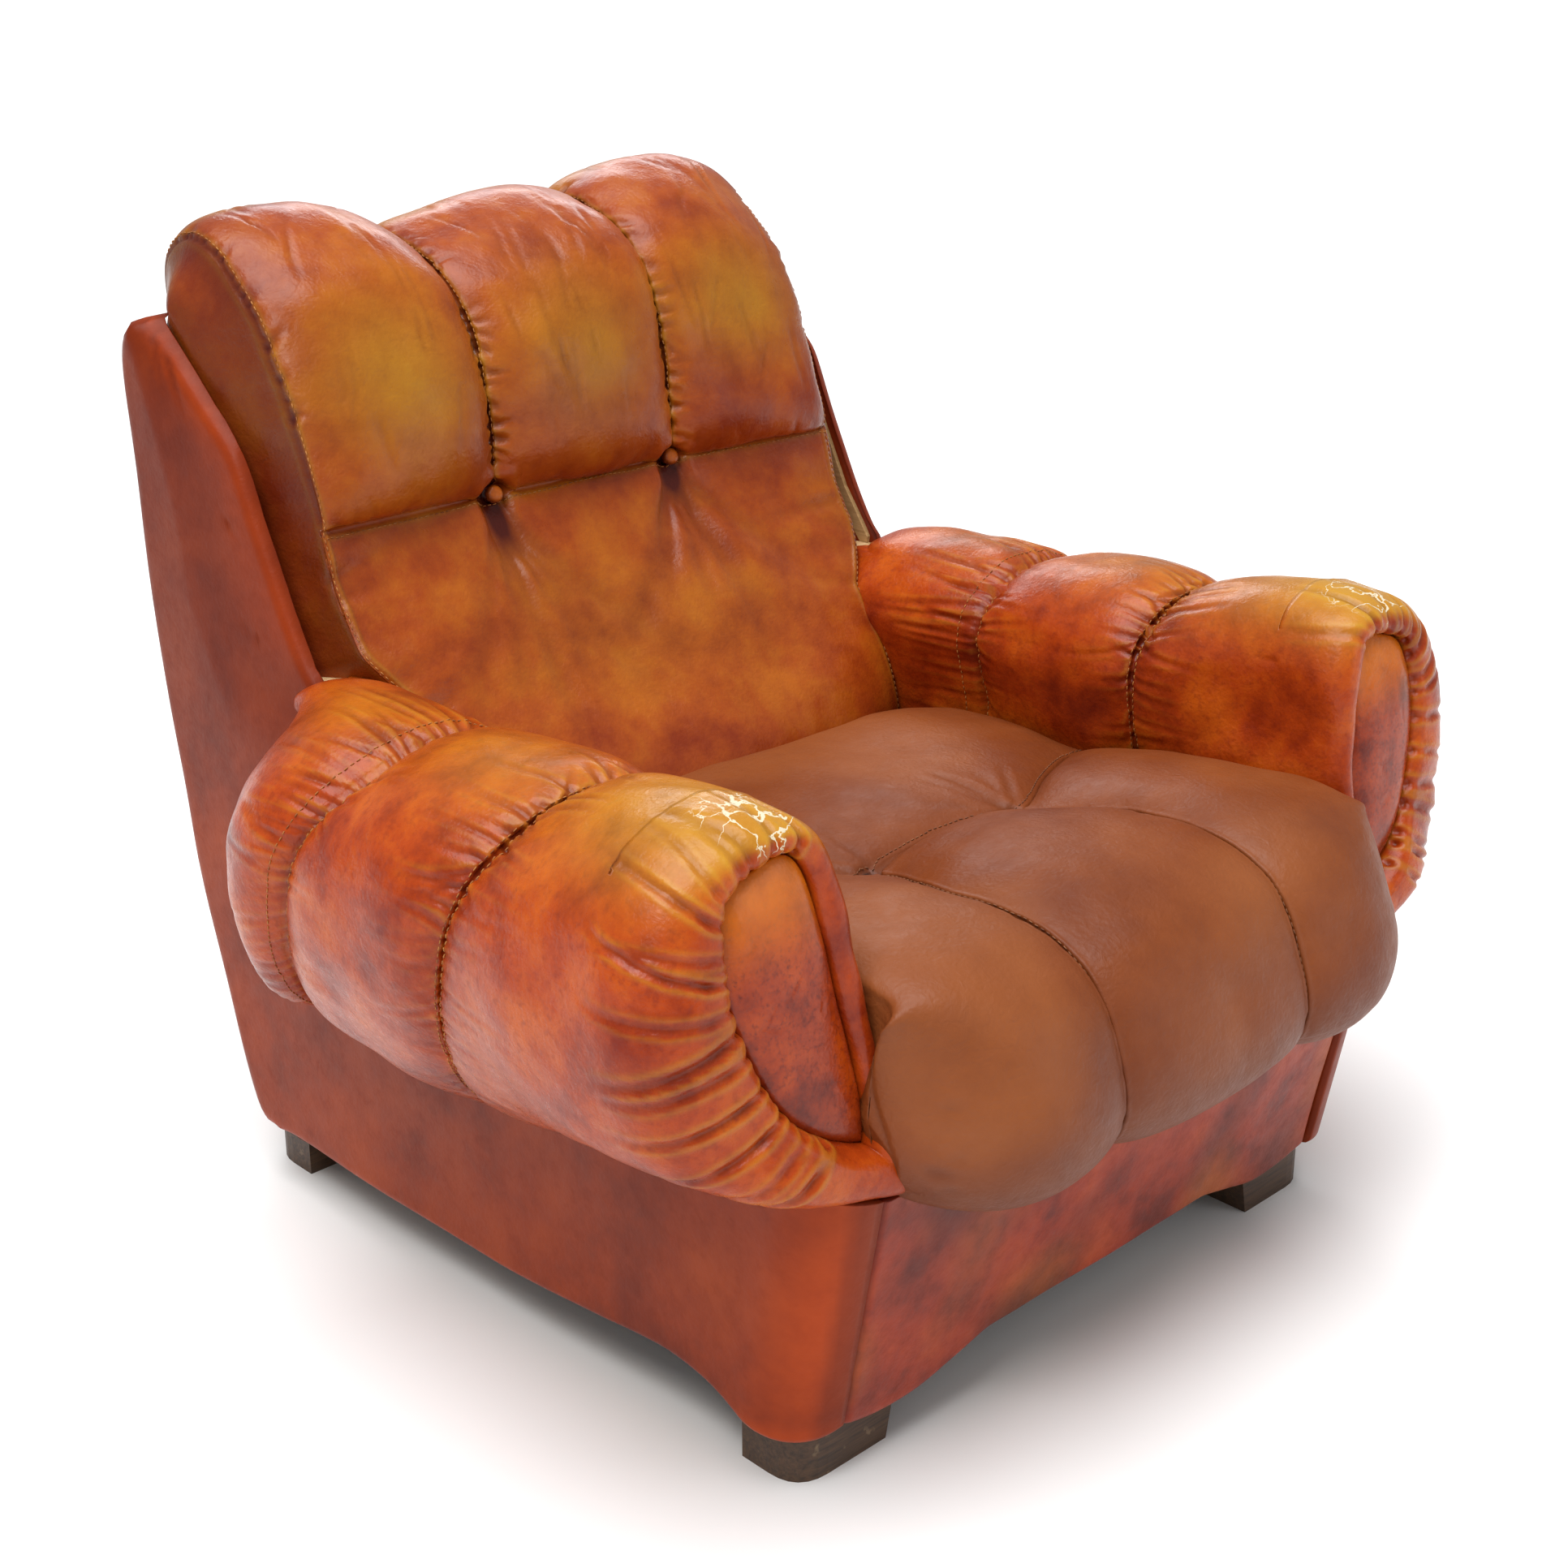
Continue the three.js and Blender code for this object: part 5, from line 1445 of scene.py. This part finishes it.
def build_button(name):
    """A covered button: a shallow leather dome with a rolled rim and small pleats under it."""
    low, high = (
        np.array(corner) / MM - np.array([0, SHIFT_Y, 0]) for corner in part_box(f"back_button_{name}")
    )
    centre = (low + high) / 2
    tilt = math.radians(62)
    axis = np.array([0, -math.sin(tilt), math.cos(tilt)])
    across = np.array([1.0, 0, 0])
    up = np.cross(axis, across)
    profile = [
        (0.0, -6.0), (6.5, -6.0), (8.3, -3.4), (8.9, -0.6), (8.5, 1.5), (7.0, 3.2), (4.5, 4.4),
        (2.0, 4.9), (0.0, 5.0)
    ]
    line = smooth_line(profile, 30)
    around = np.linspace(0, 2 * np.pi, 56, endpoint=False)
    rows = []
    for radius, height in line:
        pleat = 1 + 0.025 * np.sin(9 * around) * smooth((2 - height) / 3)
        ring = np.cos(around)[:, None] * across + np.sin(around)[:, None] * up
        rows.append(centre + axis * height + ring * (max(radius, 0) * pleat)[:, None])
    piece = welded(f"back_button_leather_{name}", [grid(np.array(rows), wrap=True)], ARM_HIDE)
    count = len(piece.data.vertices)
    rim = np.linalg.norm(read_points(piece.data) - centre, axis=1)
    # Painted shade round the rim, where the button sinks into the leather.
    paint(piece, hollow=0.6 * smooth((rim - 7) / 2), worn=0.25 * np.ones(count), broken=np.zeros(count))
    return declare(piece, (f"back_button_{name}",))


# ---------------------------------------------------------------- seat cushion

# Side view of the seat from its rear edge over the top and round the nose, as y and z.
SEAT_REAR_TOP = [(104, 352), (106, 376), (92, 394), (40, 404), (-60, 407), (-170, 403)]
SEAT_LOBES = [
    (-170, 403), (-225, 415), (-270, 426), (-340, 433), (-383, 431), (-411, 424), (-440, 408),
    (-459, 384)
]
SEAT_LOBES += [(-472, 354), (-481, 328), (-483, 306), (-477, 284), (-462, 271), (-440, 268.5)]
SEAT_UNDER = [(-440, 268.5), (-300, 268), (0, 268), (80, 268.5), (100, 284), (104, 320), (104, 352)]
SEAT_REAR_ROWS = 80
SEAT_LOBE_ROWS = 165
SEAT_HALF = 284.0
NOSE_HALF = 314.0
SEAM_BOW = [(0, -170), (60, -176), (95, -186), (125, -178), (180, -148), (245, -122), (306, -118)]
SEAT_SWELL = 20.0
SEAT_CHANNEL = 0.38  # share of the half width


def seat_half_width(y, z):
    nose = smooth((-395 - y) / 40)
    waist = 8.0 * np.sin(np.pi * np.clip((z - 268) / 170, 0, 1))
    shoulder = 16.0 * smooth((-270 - y) / 110)
    return SEAT_HALF + shoulder + (NOSE_HALF - SEAT_HALF - 16.0 + waist) * nose


def nose_corner(x, y, z):
    """The nose of the seat rounds away towards its two front corners."""
    outward = np.clip((np.abs(x) - 170) / 150, 0, 1.2) ** 2.7
    nose = smooth((-400 - y) / 70)
    low = smooth((330 - z) / 60)
    return 60.0 * outward * nose, 20.0 * outward * nose * low


def build_seat():
    v_rear = crowded([0, 1], SEAT_REAR_ROWS, 0.4)
    v_lobe = crowded([0, 1], SEAT_LOBE_ROWS, 0.25)[1:]
    base = np.vstack([smooth_line(SEAT_REAR_TOP, at=v_rear), smooth_line(SEAT_LOBES, at=v_lobe)])
    seam_row = len(v_rear) - 1
    channel = SEAT_CHANNEL
    across = crowded([-1, -channel, channel, 1], 150, 0.72)
    run = np.gradient(base, axis=0)
    run /= np.linalg.norm(run, axis=1)[:, None]
    out = np.stack([run[:, 1], -run[:, 0]], axis=1)
    bow = smooth_line(SEAM_BOW, 80)
    lobes = lobe_heights(across, (-1, -channel, channel, 1))
    rows = []
    total = len(base)
    for k in range(total):
        y0, z0 = base[k]
        half = seat_half_width(y0, z0)
        channel_x = 95 + 29 * smooth((-180 - y0) / 120)
        x = np.interp(across, [-1, -channel, channel, 1], [-half, -channel_x, channel_x, half])
        near_seam = smooth((y0 - 60) / -230) if k <= seam_row else smooth((y0 + 400) / 230)
        seam_y = np.interp(np.abs(x), bow[:, 0], bow[:, 1])
        shift = (seam_y + 170) * near_seam * (z0 > 380)
        if k <= seam_row:
            along = (seam_row - k) / seam_row
            swell = (
                15.0 * (1 - across**6) * np.sqrt(np.clip(1 - (1 - np.clip(along / 0.32, 0, 1)) ** 2, 0, 1))
            )
            swell = swell * np.clip(k / 12, 0, 1)
        else:
            along = (k - seam_row) / (total - seam_row - 1)
            rise = np.sqrt(1 - (1 - np.clip(along / 0.16, 0, 1)) ** 2.2)
            tail = np.sqrt(1 - (1 - np.clip((1 - along) / 0.1, 0, 1)) ** 2)
            swell = SEAT_SWELL * lobes * rise * tail
        place = np.array([y0, z0]) + out[k] * swell[:, None]
        back, lifted = nose_corner(x, y0, z0)
        rows.append(np.column_stack([x, place[:, 0] + shift + back, place[:, 1] + lifted]))
    rows = np.array(rows)
    under_line = smooth_line(SEAT_UNDER, 40)
    under = []
    for y, z in under_line:
        half = seat_half_width(y, z)
        channel_x = 124 - 29 * smooth((y + 300) / 120)
        x = np.interp(across, [-1, -channel, channel, 1], [-half, -channel_x, channel_x, half])
        back, lifted = nose_corner(x, y, z)
        under.append(np.column_stack([x, y + back, z + lifted]))
    under = np.array(under)
    under[0] = rows[-1]
    under[-1] = rows[0]
    patches = [grid(rows), grid(under)]
    core_ends = np.array([(70, 335), (-60, 338), (-250, 345), (-405, 342)], float)
    share = np.clip(np.arange(total) / (total * 0.72), 0, 1)
    core_line = smooth_line(core_ends, at=share)
    for column, sign in ((0, -1), (-1, 1)):
        rim = rows[:, column]
        core = np.column_stack([sign * (np.abs(rim[:, 0]) + 2), core_line])
        last = int(total * 0.72)
        core[last:, 0] = core[last, 0]
        side = gusset(rim, core, sign, 6.0, 20)
        patches.append(grid(side))
        rear_line = under[::-1, column]
        patches.append(strip(side[:, -1][: last + 1], rear_line))
        patches.append(strip(side[-1, ::-1], np.vstack([side[-1, -1:], rear_line[-1:]])))
        patches.append(strip(side[0], np.vstack([rim[:1], rear_line[:1]])))
    piece = welded("seat_cushion_leather", patches, SEAT_HIDE)
    points = read_points(piece.data)
    normals = read_normals(piece.data)
    rng = np.random.default_rng(71)
    columns = [int(np.argmin(np.abs(across - side * channel))) for side in (-1, 1)]
    folds = []
    for sign in (-1, 1):
        tuft = np.array([sign * 95, -184, 404])
        for angle in np.linspace(20, 150, 8):
            turn = math.radians(angle + rng.uniform(-8, 8))
            reach = rng.uniform(50, 120)
            end = tuft + np.array([-sign * math.cos(turn) * reach, math.sin(turn) * reach, 12])
            middle = (tuft + end) / 2 + np.array([0, 0, 9])
            folds.append(
                (np.array([tuft, middle, end + [0, 0, 5]]), rng.uniform(4, 8), rng.uniform(1.2, 3.4), False)
            )
    for column in columns:
        for row in range(seam_row + 6, total - 20, 7):
            for way in (-1, 1):
                if rng.random() < 0.5:
                    continue
                reach = rng.uniform(0.5, 1.2)
                line = [
                    rows[int(np.clip(row + rng.uniform(-2, 2), 0, total - 1)), column + way * int(s * reach)]
                    for s in (2, 9, 16)
                ]
                folds.append((np.array(line), rng.uniform(3, 5), rng.uniform(0.3, 1.0), False))
    for sign in (-1, 1):
        corner = np.array([sign * 318, -450, 330])
        for _ in range(9):
            start = corner + np.array([0, rng.uniform(-14, 6), rng.uniform(-50, 60)])
            end = start + np.array([-sign * rng.uniform(20, 50), rng.uniform(-24, -6), rng.uniform(-8, 14)])
            folds.append((np.array([start, end]), rng.uniform(4, 7), rng.uniform(1.0, 3.0), False))
    pulled = pressed(points, folds)
    seam_lines = [rows[seam_row]] + [rows[seam_row:, c] for c in columns] + [rows[:, 0], rows[:, -1]]
    seam = np.zeros(len(points))
    for line, depth in zip(seam_lines, (1.0, 1.0, 1.0, 0.5, 0.5)):
        distance = line_distance(points, line[::2], 30)[0]
        seam += depth * np.exp(-((distance / 2.4) ** 2))
    ridge = np.zeros(len(points))
    for line in seam_lines[:3]:
        distance = line_distance(points, line[::2], 30)[0]
        ridge += np.exp(-(((distance - 5.5) / 2.0) ** 2))
    bottom = smooth((points[:, 2] - 272) / 8)
    lift = bottom * (2.2 * drift(points, 120, 72) + 0.6 * drift(points, 35, 73) - np.minimum(pulled, 5))
    lift = lift - 2.0 * np.minimum(seam, 1.3) + 1.2 * np.minimum(ridge, 1)
    write_points(piece.data, points + normals * lift[:, None] * bottom[:, None])
    # Painted shade in the folds and seams, and on the low underside of the nose.
    paint(
        piece,
        hollow=0.08 * pulled + 0.45 * seam + 0.25 * smooth((330 - points[:, 2]) / 60),
        worn=0.5 * smooth(drift(points, 140, 74)),
        broken=np.zeros(len(points)),
    )
    fixed = read_points(piece.data)
    fixed_normals = read_normals(piece.data)
    thread = [on_skin(rows[seam_row - 3, 4:-4], fixed, fixed_normals)]
    for c in columns:
        thread.append(on_skin(rows[seam_row + 4 : -16 : 2, c + 2], fixed, fixed_normals))
    declare(stitches("seat_stitching", thread, BROWN_THREAD))
    return declare(piece, ("seat_cushion",))


# ---------------------------------------------------------------- the chair

for side_name, side_sign in SIDES.items():
    build_side(side_name, side_sign, 10 + side_sign)
    build_arm(side_name, side_sign, 20 + side_sign * 3)
    build_insert(side_name, side_sign, 80 + side_sign)
    build_button(side_name)
build_apron()
build_outer_back()
build_back()
build_seat()
build_cloth("dust_cloth", "dust_cover", DUST_CLOTH, sag=2.0, thickness=0.8)
build_cloth("deck_cloth", "seat_deck", CANVAS, sag=0.4, thickness=0.8)

NODE_FINISHES = {
    "foot_screw": ZINC,
    "foot_": FOOT_OAK,
    "side_board": PLY,
    "arm_front_board": PLY,
    "seat_webbing": WEBBING,
    "back_webbing": WEBBING,
}
FOOT_EDGE_WEAR = 1.6 * MM

for node_name, node_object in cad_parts.items():
    finish = next((f for start, f in NODE_FINISHES.items() if node_name.startswith(start)), BEECH)
    node_object.data.materials.clear()
    node_object.data.materials.append(finish)
    if node_name.startswith("foot_") and "screw" not in node_name:
        bevel = node_object.modifiers.new("worn_edges", "BEVEL")
        bevel.width = FOOT_EDGE_WEAR
        bevel.segments = 3
        bevel.limit_method = "ANGLE"

# ---------------------------------------------------------------- floor, light and camera

floor_mesh = bpy.data.meshes.new("studio_floor")
FLOOR_HALF = 40.0
floor_corners = [(-FLOOR_HALF, -FLOOR_HALF, 0), (FLOOR_HALF, -FLOOR_HALF, 0)]
floor_corners += [(FLOOR_HALF, FLOOR_HALF, 0), (-FLOOR_HALF, FLOOR_HALF, 0)]
floor_mesh.from_pydata(floor_corners, [], [(0, 1, 2, 3)])
floor = bpy.data.objects.new("studio_floor", floor_mesh)
bpy.context.scene.collection.objects.link(floor)
paper, paper_tree, _ = new_finish("studio_paper")
paper_shader = add(
    paper_tree, "BsdfPrincipled",
    {"Base Color": colour("#f4f4f4"), "Roughness": 0.95, "Specular IOR Level": 0.1}
)
add(paper_tree, "OutputMaterial", {"Surface": paper_shader.outputs[0]})
floor_mesh.materials.append(paper)

world = bpy.data.worlds.new("studio_white")
world.use_nodes = True
world.node_tree.nodes["Background"].inputs["Color"].default_value = (1.0, 1.0, 1.0, 1.0)
world.node_tree.nodes["Background"].inputs["Strength"].default_value = 0.38
bpy.context.scene.world = world


def softbox(name, place, target, width, height, power, tint):
    light = bpy.data.lights.new(name, "AREA")
    light.shape = "RECTANGLE"
    light.size = width
    light.size_y = height
    light.energy = power
    light.color = tint
    lamp = bpy.data.objects.new(name, light)
    lamp.location = place
    aim = np.array(target) - np.array(place)
    lamp.rotation_euler = (
        math.atan2(math.hypot(aim[0], aim[1]), -aim[2]),
        0,
        math.atan2(aim[1], aim[0]) - math.pi / 2,
    )
    bpy.context.scene.collection.objects.link(lamp)


softbox("key_light", (-1.9, -0.9, 2.5), (0, 0, 0.5), 0.9, 0.7, 20, (1.0, 0.97, 0.93))
softbox("fill_light", (1.2, -2.6, 1.2), (0, 0, 0.4), 1.2, 1.2, 6, (0.97, 0.98, 1.0))
softbox("rim_light", (1.6, 2.2, 2.0), (0, 0, 0.6), 1.6, 0.6, 16, (0.98, 0.99, 1.0))

overhead = bpy.data.lights.new("overhead_silk", "SUN")
overhead.energy = 3.1
overhead.angle = math.radians(50)
overhead_lamp = bpy.data.objects.new("overhead_silk", overhead)
overhead_lamp.rotation_euler = (math.radians(1), math.radians(-9), 0)
bpy.context.scene.collection.objects.link(overhead_lamp)

CAMERA_PLACE = (-1.44005, -1.45950 + SHIFT_Y * MM, 1.2)
CAMERA_LENS = 53.98
CAMERA_PITCH = 21.039
CAMERA_YAW = -44.230
camera_data = bpy.data.cameras.new("camera")
camera_data.lens = CAMERA_LENS
camera_data.sensor_width = 36.0
camera = bpy.data.objects.new("camera", camera_data)
camera.location = CAMERA_PLACE
camera.rotation_euler = (math.radians(90 - CAMERA_PITCH), 0, math.radians(CAMERA_YAW))
bpy.context.scene.collection.objects.link(camera)
bpy.context.scene.camera = camera
bpy.context.scene.view_settings.view_transform = "Standard"

bpy.context.view_layer.update()
